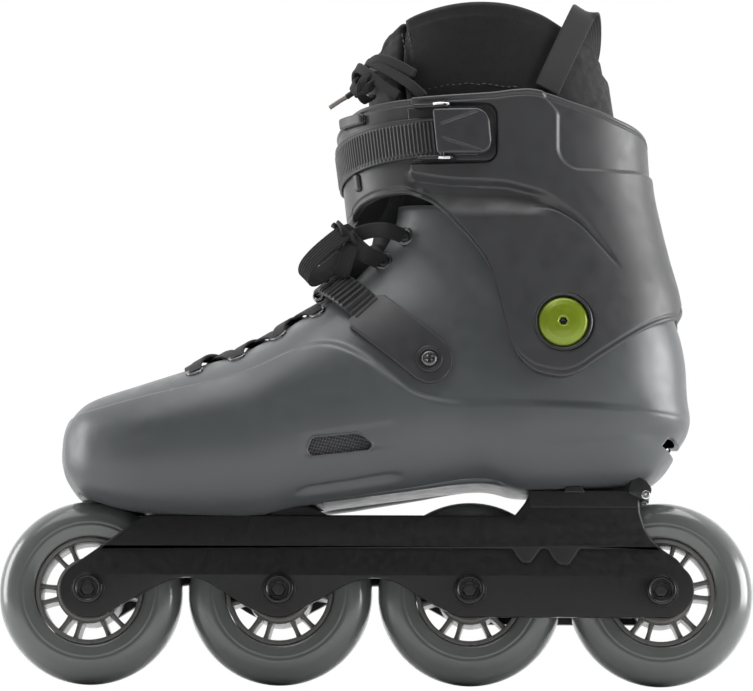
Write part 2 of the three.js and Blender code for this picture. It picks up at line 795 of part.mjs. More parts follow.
function cuffLever() {
  const low = BUCKLE_LOW + 2.3;
  const high = BUCKLE_HIGH - 2.3;
  const grip = cuffStrip(cuffAngle(30, 234), cuffAngle(50, 234), () => [low, high], 4.9, 8.2, 4);
  const knuckle = barZ(2.2, low, high, LEVER_PIN.x, pinY(), 16);
  return cut(union(grip, knuckle), barZ(1.2 + GAP, 200, 260, LEVER_PIN.x, pinY(), 12));
}

function cuffLadder() {
  const from = cuffAngle(44, 231);
  const to = -2 * Math.PI - cuffAngle(14, 231);
  const heights = (angle) => [strapMiddle(angle) - STRAP_HALF_WIDTH, strapMiddle(angle) + STRAP_HALF_WIDTH];
  return cut(cuffStrip(from, to, heights, 2.4, 4, 24), screwHole(LADDER_SCREW));
}

add("cuff", cuff(), "cuff");
add("cuff_buckle_base", cuffBuckle(), "blackPlastic");
add("cuff_buckle_lever", cuffLever(), "blackPlastic");
add("cuff_buckle_pin", barZ(1.2, BUCKLE_LOW + 0.2, BUCKLE_HIGH - 0.2, LEVER_PIN.x, pinY(), 12), "steel");
add("cuff_ladder_strap", cuffLadder(), "blackPlastic");
add("cuff_ladder_screw", screw(LADDER_SCREW, CUFF_WALL - GAP, 4.4), "blackSteel");

// ---- liner ----
const COLLAR_TOP = [
  [-30, 283],
  [-3, 283.5],
  [-1, 288],
  [9.5, 296.5],
  [27, 303],
  [44, 304.5],
  [61.5, 302.5],
  [79.6, 294],
  [91, 287.4],
  [97.3, 279.5],
  [101, 269.5],
  [130, 262],
];
const COLLAR_BOTTOM = [
  [130, 170.5],
  [105, 171],
  [83, 176.5],
  [65, 188],
  [51.5, 202],
  [38, 213],
  [20, 217.5],
  [-1, 221.5],
  [-30, 222],
];

const LINER_GAP = 1.2;

const LINER_SECTIONS = [
  ...inset(
    CAVITY_SECTIONS,
    LINER_GAP,
    HEEL_PAD_RISE.map((rise) => rise + LINER_GAP),
    LINER_GAP,
  ).slice(0, 15),
  ...COLLAR_SECTIONS,
];
const TONGUE_ANGLES = LINER_SECTIONS.slice(4).map((_, i) => 0.5 + 0.05 * Math.min(6, i));

function linerWall() {
  const inside = inset(LINER_SECTIONS.slice(1), LINER_WALL, LINER_WALL, LINER_WALL);
  const walls = cut(boot(LINER_SECTIONS, LINER_SIDES), boot(inside, LINER_SIDES));
  const throat = band(
    justBefore(LINER_SECTIONS.slice(3)),
    0,
    TONGUE_ANGLES.map((angle) => angle + 0.02),
    -3,
    LINER_WALL + 4,
  );
  return cut(walls, throat);
}

const liner = linerWall();
const nutPockets = union(
  barY(9.2, -60, -35.6, PIVOT.x, PIVOT.z),
  barY(9.2, 35.6, 60, PIVOT.x, PIVOT.z),
);
add("liner_lower", cut(liner.intersect(belowRim(1)), nutPockets), "fabric");
const collarRegion = prism([...COLLAR_BOTTOM, ...COLLAR_TOP], -90, 90);
add("liner_collar", liner.intersect(collarRegion), "fabric");

const tongue = band(LINER_SECTIONS.slice(4), 0, TONGUE_ANGLES, 0.6, LINER_WALL);
add("tongue_lower", tongue.intersect(belowRim(1)), "fabric");
add("tongue_upper", tongue.intersect(collarRegion), "fabric");

const INSOLE = inset(LINER_SECTIONS.slice(1, 12), LINER_WALL, LINER_WALL, LINER_WALL);
add("footbed", band(INSOLE, Math.PI, 0.75, 1.8, 4.6), "fabric");

const PAD_SECTIONS = CAVITY_SECTIONS.slice(9, 12);
add("heel_shock_pad", band(PAD_SECTIONS, Math.PI, 0.6, 0.9, 5.4, 0), "rubber");

// ---- instep strap ----
// It lies in a plane that leans forwards, from the screw on one side over the instep to the other side.
const STRAP_LEAN = new THREE.Vector2(-0.765, 0.644);
const STRAP_ACROSS = new THREE.Vector2(0.644, 0.765);
const STRAP_TAIL = 9; // beyond the screw

// `share` runs from -1 at the outer side's strap end over 0 at the crest to 1 at the inner side's.
function strapPoint(share, offset, height) {
  const start = new THREE.Vector2(STRAP_SCREW.x, STRAP_SCREW.z)
    .addScaledVector(STRAP_LEAN, -STRAP_TAIL)
    .addScaledVector(STRAP_ACROSS, offset);
  const grown = inset(SHELL_SECTIONS, -height, -height, -height);
  const at = (length) => start.clone().addScaledVector(STRAP_LEAN, length);
  let [low, high] = [20, 110];
  for (let step = 0; step < 24; step++) {
    const middle = (low + high) / 2;
    const { x, y } = at(middle);
    if (surfaceY(grown, x, y).across > 0.05) low = middle;
    else high = middle;
  }
  const { x, y } = at(low * Math.sin(((1 - Math.abs(share)) * Math.PI) / 2));
  const { across, shift } = surfaceY(grown, x, y);
  return new THREE.Vector3(x, shift + Math.sign(share) * across, y);
}

function strapStrip(from, to, width, under, over, steps) {
  return loft(
    Array.from({ length: steps + 1 }, (_, k) => {
      const share = from + ((to - from) * k) / steps;
      const [low, high] = [under(share), over(share)];
      return [
        strapPoint(share, -width / 2, low),
        strapPoint(share, width / 2, low),
        strapPoint(share, width / 2, high),
        strapPoint(share, -width / 2, high),
      ];
    }),
    true,
  );
}

const flat = (height) => () => height;
// The ladder rises over the lace, and again into the buckle.
const ladderLift = (share) =>
  3.4 * THREE.MathUtils.smoothstep(share, -0.55, -0.3) + THREE.MathUtils.smoothstep(share, 0.1, 0.36);
const LADDER_END = 0.62;
const BUCKLE_START = 0.4;
const BUCKLE_END = 0.7;

const ladder = strapStrip(-1, LADDER_END, 15, (s) => 0.6 + ladderLift(s), (s) => 2.4 + ladderLift(s), 26);
const farStrap = strapStrip(BUCKLE_START, 1, 18, flat(0.6), flat(2.4), 10);
add("instep_ladder_strap", cut(ladder, screwHole(STRAP_SEATS[0])), "blackPlastic");
add("instep_far_strap", cut(farStrap, screwHole(STRAP_SEATS[1])), "blackPlastic");
add("instep_screw_outer_side", screw(STRAP_SEATS[0], SHELL_WALL - GAP, 2.9), "blackSteel");
add("instep_screw_inner_side", screw(STRAP_SEATS[1], SHELL_WALL - GAP, 2.9), "blackSteel");

const PIN_SHARE = 0.47;
const PIN_HEIGHT = 9.6;
const pinEnd = (offset) => strapPoint(PIN_SHARE, offset, PIN_HEIGHT);
const instepPin = (radius, half) => {
  const middle = pinEnd(0);
  const reach = pinEnd(5).sub(pinEnd(-5)).setLength(half);
  return barBetween(middle.clone().sub(reach), middle.clone().add(reach), radius, 14);
};

function instepBuckleBase() {
  const plate = strapStrip(BUCKLE_START, BUCKLE_END, 22, flat(2.8), flat(4), 5);
  const ears = [-10, 10].map((offset) =>
    loft(
      [BUCKLE_START + 0.02, PIN_SHARE, 0.54].map((share) =>
        [[-1, 3.5], [1, 3.5], [1, 11.5], [-1, 11.5]].map(([side, height]) =>
          strapPoint(share, offset + side, height),
        ),
      ),
      true,
    ),
  );
  return cut(union(plate, ...ears), instepPin(1.2 + GAP, 20));
}

function instepLever() {
  const grip = strapStrip(PIN_SHARE + 0.02, BUCKLE_END + 0.02, 14.4, flat(7.6), flat(11), 4);
  return cut(union(grip, instepPin(2.3, 7.4)), instepPin(1.2 + GAP, 20));
}

add("instep_buckle_base", instepBuckleBase(), "blackPlastic");
add("instep_buckle_lever", instepLever(), "blackPlastic");
add("instep_buckle_pin", instepPin(1.2, 10.6), "steel");

// ---- laces and pull tab ----
const EYELETS = [
  [-78, 133.3],
  [-60, 140],
  [-42, 149.6],
  [-25, 159.8],
];
const LACE_WIDTH = 5.6;
const LACE_THICKNESS = 1.4;
const LACE_HEIGHT = 2; // middle of the lace above the shell

function crest(x) {
  const grown = inset(SHELL_SECTIONS, -LACE_HEIGHT, 0, 0).map((s) => s.top);
  const i = grown.findIndex((top) => top.x > x) - 1;
  const t = (x - grown[i].x) / (grown[i + 1].x - grown[i].x);
  return new THREE.Vector3(x, SHELL_SECTIONS[i].shift, THREE.MathUtils.lerp(grown[i].y, grown[i + 1].y, t) + 0.6);
}

// Bars between opposite eyelets and a diagonal from each to the next.
function shellLace() {
  const across = new THREE.Vector3(0.86, 0, 0.51);
  const eyelet = ([x, z], side) => shellPoint(x, z, LACE_HEIGHT, side);
  const over = (from, to) => {
    const middle = crest((from.x + to.x) / 2 - 1);
    const rise = (end) => end.clone().lerp(middle, 0.5).add(new THREE.Vector3(-0.8, 0, 1.6));
    return ribbon([from, rise(from), middle, rise(to), to], across, LACE_WIDTH, LACE_THICKNESS, 6);
  };
  const bars = EYELETS.map((place) => over(eyelet(place, -1), eyelet(place, 1)));
  const diagonals = EYELETS.slice(1).map((place, i) => over(eyelet(EYELETS[i], 1), eyelet(place, -1)));
  return union(...bars, ...diagonals);
}
add("shell_lace", shellLace(), "lace");

const at = (x, y, z) => new THREE.Vector3(x, y, z);

function knot(x, y, z, width, height) {
  const ball = new THREE.SphereGeometry(1, 10, 6);
  return solidOf(ball.scale(height, width, height).translate(x, y, z));
}

function laceBow() {
  const across = at(0.75, 0, 0.66);
  const loop = (side) =>
    ribbon(
      [
        at(-31, side * 3, 187),
        at(-35, side * 14, 193),
        at(-37, side * 25, 191),
        at(-35, side * 31, 184),
        at(-32, side * 24, 180),
        at(-31, side * 6, 184),
      ],
      across,
      LACE_WIDTH,
      LACE_THICKNESS,
      10,
    );
  const tail = (side) =>
    ribbon(
      [at(-32, side * 5, 184), at(-37, side * 13, 181), at(-38, side * 24, 174), at(-36, side * 33, 168)],
      across,
      LACE_WIDTH,
      LACE_THICKNESS,
      6,
    );
  return union(knot(-31, 0, 186, 7, 5), loop(-1), loop(1), tail(-1), tail(1));
}
add("lace_bow", laceBow(), "lace");

function linerLace() {
  const upper = inset(LINER_SECTIONS, -1.6, -1.6, -1.6).slice(-3)[0];
  const bar = Array.from({ length: 7 }, (_, k) => sectionPoint(upper, -0.9 + 0.3 * k));
  const middle = bar[3];
  return union(
    ribbon(bar, at(0, 0, 1), 5, 1.2, 12),
    knot(middle.x - 3, 0, middle.z, 7, 4.5),
    ribbon([middle.clone().add(at(-3, -3, 0)), at(-12, -9, 262), at(-17, -12, 254), at(-21, -13, 252)], at(0, 1, 0), 4, 1.2, 6),
  );
}
add("liner_lace", linerLace(), "lace");

function pullTab() {
  const path = [
    at(68, -43.2, 255),
    at(74, -43.4, 268),
    at(82, -42.5, 284),
    at(88.5, -39, 295),
    at(93.5, -33, 298.5),
    at(97, -27, 294),
    at(99.4, -24.5, 284),
    at(101.4, -23, 272),
  ];
  return ribbon(path, at(0.86, 0, -0.5), 11, 1.5, 14, at(0.42, -0.88, -0.2));
}
add("pull_tab", pullTab(), "fabric");

export default skate;
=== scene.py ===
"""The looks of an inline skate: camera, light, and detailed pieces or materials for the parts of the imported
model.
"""

import math

import bpy
import numpy as np
from mathutils import Matrix, Vector
from mathutils.bvhtree import BVHTree
from mathutils.geometry import tessellate_polygon

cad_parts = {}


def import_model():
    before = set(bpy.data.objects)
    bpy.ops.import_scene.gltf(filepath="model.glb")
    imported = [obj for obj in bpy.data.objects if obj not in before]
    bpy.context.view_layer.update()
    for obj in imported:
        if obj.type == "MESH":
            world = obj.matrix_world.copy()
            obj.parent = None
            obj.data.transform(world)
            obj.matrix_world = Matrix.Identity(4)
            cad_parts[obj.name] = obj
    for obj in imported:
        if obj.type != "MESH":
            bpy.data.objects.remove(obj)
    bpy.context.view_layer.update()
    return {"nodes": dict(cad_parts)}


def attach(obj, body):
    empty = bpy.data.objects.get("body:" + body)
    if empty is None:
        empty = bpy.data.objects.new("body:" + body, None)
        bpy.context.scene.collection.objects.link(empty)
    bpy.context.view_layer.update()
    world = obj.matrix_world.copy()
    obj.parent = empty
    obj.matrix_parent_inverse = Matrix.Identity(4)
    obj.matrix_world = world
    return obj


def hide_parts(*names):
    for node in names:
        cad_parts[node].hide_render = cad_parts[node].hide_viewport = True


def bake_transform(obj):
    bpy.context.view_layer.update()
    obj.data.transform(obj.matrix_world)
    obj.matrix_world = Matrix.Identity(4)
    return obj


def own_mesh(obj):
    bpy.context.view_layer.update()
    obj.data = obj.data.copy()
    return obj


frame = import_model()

MM = 0.001
PI = math.pi
nodes = frame["nodes"]

# ---- camera, light and stage ----
CAMERA_PLACE = Vector((0.0564, -1.9759, -0.1854))
CAMERA_YAW, CAMERA_PITCH, CAMERA_ROLL = (math.radians(a) for a in (-1.64, 9.62, 0.40))


def camera():
    data = bpy.data.cameras.new("camera")
    data.lens = 218.5
    data.sensor_width = 36
    data.clip_start, data.clip_end = 0.05, 20
    made = bpy.data.objects.new("camera", data)
    bpy.context.scene.collection.objects.link(made)
    level = math.cos(CAMERA_PITCH)
    ahead = Vector((math.sin(CAMERA_YAW) * level, math.cos(CAMERA_YAW) * level, math.sin(CAMERA_PITCH)))
    right = Vector((math.cos(CAMERA_YAW), -math.sin(CAMERA_YAW), 0))
    up = right.cross(ahead)
    c, s = math.cos(CAMERA_ROLL), math.sin(CAMERA_ROLL)
    columns = (c * right + s * up, c * up - s * right, -ahead)
    made.matrix_world = Matrix.Translation(CAMERA_PLACE) @ Matrix(columns).transposed().to_4x4()
    bpy.context.scene.camera = made


def lamp(name, place, aim, size, watts):
    data = bpy.data.lights.new(name, "AREA")
    data.shape = "RECTANGLE"
    data.size, data.size_y = size
    data.energy = watts
    made = bpy.data.objects.new(name, data)
    made.location = place
    made.rotation_euler = (Vector(aim) - Vector(place)).to_track_quat("-Z", "Y").to_euler()
    bpy.context.scene.collection.objects.link(made)


def tree_add(tree, kind, settings=None, **sockets):
    """A node with its settings; each socket gets a value or a link."""
    node = tree.nodes.new("ShaderNode" + kind)
    for key, value in (settings or {}).items():
        setattr(node, key, value)
    for key, value in sockets.items():
        numbered = key[0] == "i" and key[1:].isdigit()
        target = node.inputs[int(key[1:]) if numbered else key.replace("_", " ")]
        if isinstance(value, bpy.types.NodeSocket):
            tree.links.new(value, target)
        else:
            target.default_value = value
    return node


def world():
    made = bpy.data.worlds.new("studio")
    made.use_nodes = True
    tree = made.node_tree
    tree.nodes.clear()
    way = tree_add(tree, "TexCoord").outputs["Generated"]
    axes = tree_add(tree, "SeparateXYZ", Vector=way).outputs
    # The tent is bright behind and above the skate, and dim on the camera's side.
    back = tree_add(tree, "MapRange", {"interpolation_type": "SMOOTHSTEP"}, Value=axes["Y"],
                    From_Min=-0.75, From_Max=0.35, To_Min=0.06, To_Max=1.35).outputs[0]
    tent = tree_add(tree, "Background", Color=(1, 1, 1, 1), Strength=back).outputs[0]
    plain = tree_add(tree, "Background", Color=(1, 1, 1, 1), Strength=1.0).outputs[0]
    seen = tree_add(tree, "LightPath").outputs["Is Camera Ray"]
    mix = tree_add(tree, "MixShader", i0=seen, i1=tent, i2=plain).outputs[0]
    out = tree_add(tree, "OutputWorld")
    tree.links.new(mix, out.inputs["Surface"])
    bpy.context.scene.world = made
    bpy.context.scene.view_settings.view_transform = "Standard"


def floor():
    half = 3.0
    mesh = bpy.data.meshes.new("floor")
    corners = [(-half, -half, 0), (half, -half, 0), (half, half, 0), (-half, half, 0)]
    mesh.from_pydata(corners, [], [(0, 1, 2, 3)])
    made = bpy.data.objects.new("floor", mesh)
    made.location.z = -0.0002
    bpy.context.scene.collection.objects.link(made)
    look = bpy.data.materials.new("floor")
    look.use_nodes = True
    tree = look.node_tree
    tree.nodes.clear()
    grain = tree_add(tree, "TexNoise", Scale=40.0, Detail=4.0).outputs["Fac"]
    tone = tree_add(tree, "MapRange", Value=grain, To_Min=0.74, To_Max=0.80).outputs[0]
    paper = tree_add(tree, "BsdfDiffuse", Color=tone).outputs[0]
    # The photograph's camera stands lower than the skate, so the floor's underside lets it look through.
    clear = tree_add(tree, "BsdfTransparent").outputs[0]
    under = tree_add(tree, "NewGeometry").outputs["Backfacing"]
    mix = tree_add(tree, "MixShader", i0=under, i1=paper, i2=clear).outputs[0]
    tree.links.new(mix, tree_add(tree, "OutputMaterial").inputs["Surface"])
    mesh.materials.append(look)


camera()
world()
floor()
lamp("key", (-0.7, -1.0, 1.7), (0, 0, 0.15), (1.2, 1.0), 10)
lamp("top", (0.1, -0.2, 1.7), (0, 0, 0.15), (1.4, 1.2), 24)
lamp("right", (1.65, -0.2, 0.4), (0, 0, 0.11), (1.2, 0.8), 35)
lamp("left", (-1.6, 0.1, 0.5), (0, 0, 0.12), (0.7, 1.2), 20)


# ---- mesh building, in millimetres ----
def smooth(a, b, x):
    t = np.clip((np.asarray(x, float) - a) / (b - a), 0, 1)
    return t * t * (3 - 2 * t)


def spline(table, s):
    """A smooth curve through the rows of a table, at places s."""
    table = np.asarray(table, float)
    last = len(table) - 1
    s = np.clip(np.asarray(s, float), 0, last - 1e-9)
    i = s.astype(int)
    t = (s - i)[..., None]
    p0, p1, p2, p3 = table[np.maximum(i - 1, 0)], table[i], table[i + 1], table[np.minimum(i + 2, last)]
    straight, bend = 2 * p1 + (p2 - p0) * t, 2 * p0 - 5 * p1 + 4 * p2 - p3
    return 0.5 * (straight + bend * t**2 + (3 * p1 - p0 - 3 * p2 + p3) * t**3)


def along(points, count):
    """`count` points evenly spaced on the smooth curve through some points."""
    fine = spline(points, np.linspace(0, len(points) - 1, 40 * len(points)))
    length = np.concatenate([[0], np.cumsum(np.linalg.norm(np.diff(fine, axis=0), axis=1))])
    want = np.linspace(0, length[-1], count)
    return np.stack([np.interp(want, length, fine[:, k]) for k in range(fine.shape[1])], -1)


def unit(v):
    return v / np.maximum(np.linalg.norm(v, axis=-1, keepdims=True), 1e-12)


def turn(v, axis, angle):
    axis = unit(np.asarray(axis, float))
    c, s = math.cos(angle), math.sin(angle)
    return v * c + np.cross(axis, v) * s + np.outer(v @ axis, axis) * (1 - c)


def lattice(rows, cols, wrap_rows, wrap_cols):
    i = np.arange(rows if wrap_rows else rows - 1)[:, None]
    j = np.arange(cols if wrap_cols else cols - 1)[None, :]
    i2, j2 = (i + 1) % rows, (j + 1) % cols
    return np.stack([i * cols + j, i2 * cols + j, i2 * cols + j2, i * cols + j2], -1).reshape(-1, 4)


def join(parts):
    """Several (points, faces, lay) as one."""
    points, faces, lays, base = [], [], [], 0
    for p, f, lay in parts:
        points.append(p)
        lays.append(lay if lay is not None else np.zeros_like(p))
        faces += [np.asarray(x) + base for x in f]
        base += len(p)
    return np.concatenate(points), faces, np.concatenate(lays)


def piece(name, parts, look, body, stands_for=(), flat=False, blend=None):
    """A mesh object from (points, faces, lay) parts; faces are arrays with 3 or 4 columns."""
    points, faces, lay = join(parts if isinstance(parts, list) else [parts])
    mesh = bpy.data.meshes.new(name)
    faces = [f for f in faces if len(f)]
    # Quads that have met in one corner become triangles.
    tidy = []
    for f in faces:
        if f.shape[1] == 4:
            twin = [(f[:, k] == f[:, (k + 1) % 4]) for k in range(4)]
            whole = ~(twin[0] | twin[1] | twin[2] | twin[3])
            tidy.append(f[whole])
            for k in range(4):
                rest = f[twin[k] & ~whole]
                tidy.append(np.delete(rest, k, axis=1))
        else:
            tidy.append(f)
    starts, loops, count = [], [], 0
    for f in tidy:
        if len(f):
            starts.append(count + np.arange(len(f)) * f.shape[1])
            loops.append(f.ravel())
            count += f.size
    starts, loops = np.concatenate(starts), np.concatenate(loops)
    mesh.vertices.add(len(points))
    mesh.vertices.foreach_set("co", (points * MM).astype(np.float32).ravel())
    mesh.loops.add(len(loops))
    mesh.loops.foreach_set("vertex_index", loops.astype(np.int32))
    mesh.polygons.add(len(starts))
    mesh.polygons.foreach_set("loop_start", starts.astype(np.int32))
    mesh.update(calc_edges=True)
    mesh.validate()
    mesh.polygons.foreach_set("use_smooth", np.full(len(mesh.polygons), not flat))
    layer = mesh.attributes.new("lay", "FLOAT_VECTOR", "POINT")
    layer.data.foreach_set("vector", lay.astype(np.float32).ravel())
    mesh.materials.append(look)
    made = bpy.data.objects.new(name, mesh)
    bpy.context.scene.collection.objects.link(made)
    if stands_for:
        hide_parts(*stands_for)
    if blend:
        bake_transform(made)
    else:
        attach(made, body)
    return made


def facing_out(points, faces):
    """The same faces, turned so that a closed surface faces out."""
    volume = 0
    for f in faces:
        for k in range(1, f.shape[1] - 1):
            a, b, c = points[f[:, 0]], points[f[:, k]], points[f[:, k + 1]]
            volume += np.einsum("ij,ij->", a, np.cross(b, c))
    return faces if volume > 0 else [f[:, ::-1] for f in faces]


def slab(surface, us, low, high, under, over, radius, rows=12, closed=False, relief=None, spread=None):
    """A solid over surface(u, v, height): v from low to high, height from under to over, with rounded edges.
    Where it isn't closed, u is in millimetres and both ends are rounded too."""
    us = np.asarray(us, float)
    if not closed:
        ease = radius * (1 - np.cos(np.linspace(0, PI / 2, 4)))
        us = np.concatenate([us[0] + ease, us[(us > us[0] + radius) & (us < us[-1] - radius)],
                             us[-1] - ease[::-1]])
    at = lambda v: np.broadcast_to(np.asarray(v(us) if callable(v) else v, float), us.shape)
    low, high, under, over = at(low), at(high), at(under), at(over)
    if not closed:
        gap = np.minimum(us - us[0], us[-1] - us)
        pull = np.where(gap < radius, radius - np.sqrt(np.maximum(radius**2 - (radius - gap) ** 2, 0)), 0)
        low, high = low + pull, high - pull
        pull = np.minimum(pull, (over - under) * 0.45)
        under, over = under + pull, over - pull
    r = np.minimum.reduce([np.full(us.shape, radius), (over - under) * 0.499, (high - low) * 0.499])[:, None]
    low, high, under, over = low[:, None], high[:, None], under[:, None], over[:, None]
    f = np.linspace(0, 1, rows + 2)[1:-1][None, :] if np.isscalar(rows) else np.asarray(rows, float)[None, :]
    spread = spread or (lambda f, a, b: a + (b - a) * f)
    line = spread(f, low + r, high - r)
    arc = np.linspace(0, PI / 2, 4)[None, :]
    v = [line, high - r + r * np.sin(arc), high - r + r * np.cos(arc), line[:, ::-1],
         low + r - r * np.sin(arc), low + r - r * np.cos(arc)]
    h = [under + 0 * line, under + r - r * np.cos(arc), over - r + r * np.sin(arc), over + 0 * line,
         over - r + r * np.cos(arc), under + r - r * np.sin(arc)]
    v, h = np.concatenate(v, 1), np.concatenate(h, 1)
    u = np.broadcast_to(us[:, None], v.shape)
    if relief:
        top = smooth(0.3, 0.8, (h - under) / (over - under))
        h = h + relief(u, v) * top
    points = surface(u, v, h)
    n, k, _ = points.shape
    faces = [lattice(n, k, closed, True)]
    points = points.reshape(-1, 3)
    lay = np.stack([u, v, h], -1).reshape(-1, 3)
    if not closed:
        for base in (0, (n - 1) * k):
            points = np.concatenate([points, points[base:base + k].mean(0)[None]])
            lay = np.concatenate([lay, lay[base:base + k].mean(0)[None]])
            ring = base + np.arange(k)
            fan = np.stack([ring, np.roll(ring, -1), np.full(k, len(points) - 1)], -1)
            faces.append(fan[:, ::-1] if base == 0 else fan)
    if np.linalg.norm(np.diff(points[:k], axis=0)) > 0:
        first = faces[0]
        side = points[first[:, 2]] - points[first[:, 0]]
        other = points[first[:, 3]] - points[first[:, 1]]
        if closed:
            faces = facing_out(points, faces)
        elif np.einsum("ij,ij->", points[first].mean(1) - points.mean(0), np.cross(side, other)) < 0:
            faces = [f[:, ::-1] for f in faces]
    return points, faces, lay


def path_frame(points, across):
    """A surface(u, v, height) round a smooth path: u along it in millimetres, v along `across`."""
    fine = along(points, max(60, 12 * len(points)))
    length = np.concatenate([[0], np.cumsum(np.linalg.norm(np.diff(fine, axis=0), axis=1))])
    ahead = unit(np.gradient(fine, axis=0))
    across = np.asarray(across, float)
    if across.ndim == 1:
        lie = np.broadcast_to(across, fine.shape)
    else:
        lie = spline(across, np.linspace(0, len(across) - 1, len(fine)))
    side = unit(lie - np.einsum("ij,ij->i", lie, ahead)[:, None] * ahead)
    up = np.cross(ahead, side)

    def surface(u, v, h):
        pick = lambda t: np.stack([np.interp(u, length, t[:, k]) for k in range(3)], -1)
        return pick(fine) + v[..., None] * unit(pick(side)) + h[..., None] * unit(pick(up))

    return surface, length[-1]


def ribbon(points, across, width, thickness, step=0.6, ribs=0, rib_depth=0.22, crown=0.0):
    """A flat woven band on a path, with ribs along it."""
    surface, length = path_frame(points, across)
    us = np.linspace(0, length, max(8, int(length / step)))
    relief = None
    if ribs or crown:
        def relief(u, v):
            s = np.clip(v / width + 0.5, 0, 1)
            return rib_depth * (np.abs(np.sin(PI * ribs * s)) - 0.5) + crown * (1 - (2 * s - 1) ** 2)
    return slab(surface, us, -width / 2, width / 2, -thickness / 2, thickness / 2, thickness * 0.45,
                rows=max(6, ribs * 5), relief=relief)


def tube(points, radius, sides=12, count=None, closed=False):
    """A round bar along a smooth path; radius may vary with the share of the way."""
    if closed:
        points = np.concatenate([points, points[:1]])
    fine = along(points, count or 10 * len(points))
    if closed:
        fine = fine[:-1]
        ahead = unit(np.roll(fine, -1, 0) - np.roll(fine, 1, 0))
    else:
        ahead = unit(np.gradient(fine, axis=0))
    guide = np.array([0.31, 0.52, 0.79])
    side = unit(np.cross(ahead, guide))
    up = np.cross(ahead, side)
    share = np.linspace(0, 1, len(fine))
    r = np.broadcast_to(radius(share) if callable(radius) else radius, share.shape)
    turns = np.linspace(0, 2 * PI, sides, endpoint=False)
    ring = np.cos(turns)[None, :, None] * side[:, None] + np.sin(turns)[None, :, None] * up[:, None]
    grid = fine[:, None] + r[:, None, None] * ring
    n, k = grid.shape[:2]
    points = grid.reshape(-1, 3)
    faces = [lattice(n, k, closed, True)]
    if not closed:
        for base in (0, (n - 1) * k):
            points = np.concatenate([points, points[base:base + k].mean(0)[None]])
            ring = base + np.arange(k)
            fan = np.stack([ring, np.roll(ring, -1), np.full(k, len(points) - 1)], -1)
            faces.append(fan[:, ::-1] if base == 0 else fan)
    faces = facing_out(points, faces)
    return points, faces, None


def eased(a, b, c, radius, shares):
    """Points that round the corner at b, between a and c."""
    to_a, to_c = a - b, c - b
    la, lc = np.linalg.norm(to_a), np.linalg.norm(to_c)
    r = min(radius, la * 0.45, lc * 0.45)
    start, end = b + to_a / la * r, b + to_c / lc * r
    return [(1 - t) ** 2 * start + 2 * t * (1 - t) * b + t * t * end for t in shares]


def turned(profile, sides=96, rounding=0.0, place=(0, 0, 0), axis=(0, 1, 0), shape=None):
    """A closed [radius, height] profile turned round an axis through `place`.
    shape(row, turns) scales a row's radius."""
    profile = np.asarray(profile, float)
    if rounding:
        soft = []
        n = len(profile)
        for i in range(n):
            a, b, c = profile[i - 1], profile[i], profile[(i + 1) % n]
            if b[0] < 1e-6:
                soft.append(b)
                continue
            soft += eased(a, b, c, rounding, (0, 0.33, 0.67, 1))
        profile = np.array(soft)
    turns = np.linspace(0, 2 * PI, sides, endpoint=False)
    radius = np.broadcast_to(profile[:, 0][:, None], (len(profile), sides)).copy()
    if shape is not None:
        for row in range(len(profile)):
            radius[row] *= shape(profile[row], turns)
    axis = unit(np.asarray(axis, float))
    side = unit(np.cross(axis, [0.0, 0.0, 1.0] if abs(axis[2]) < 0.9 else [1.0, 0.0, 0.0]))
    up = np.cross(axis, side)
    ring = np.cos(turns)[:, None] * up + np.sin(turns)[:, None] * side
    grid = radius[..., None] * ring[None] + profile[:, 1][:, None, None] * axis + np.asarray(place, float)
    faces = facing_out(grid.reshape(-1, 3) - np.asarray(place, float), [lattice(*grid.shape[:2], True, True)])
    lay = np.stack(np.broadcast_arrays(turns[None, :], profile[:, 0][:, None], profile[:, 1][:, None]), -1)
    return grid.reshape(-1, 3), faces, lay.reshape(-1, 3)


def hexagon(turns):
    return math.cos(PI / 6) / np.cos((turns + PI / 6) % (PI / 3) - PI / 6)


def cross_recess(turns):
    """A four-armed driver recess: the radius of a plus sign, at each turn."""
    t = np.abs((turns + PI / 4) % (PI / 2) - PI / 4)
    return np.maximum(np.minimum(1.0, 0.3 / np.maximum(np.sin(t), 1e-6)), 0.42)


def capsules(points, normals, length, radius, gap):
    """A row of stitches along a line of points on a surface."""
    points, normals = np.asarray(points, float), np.asarray(normals, float)
    way = np.concatenate([[0], np.cumsum(np.linalg.norm(np.diff(points, axis=0), axis=1))])
    out = []
    pick = lambda t, at: np.array([np.interp(at, way, t[:, k]) for k in range(3)])
    start = gap / 2
    while start + length < way[-1]:
        a, b = pick(points, start), pick(points, start + length)
        n = unit(pick(normals, start + length / 2))
        middle = (a + b) / 2 + n * radius * 0.9
        out.append(tube(np.array([a - n * radius * 0.6, middle, b - n * radius * 0.6]), radius, 6, 7))
        start += length + gap
    return join(out)


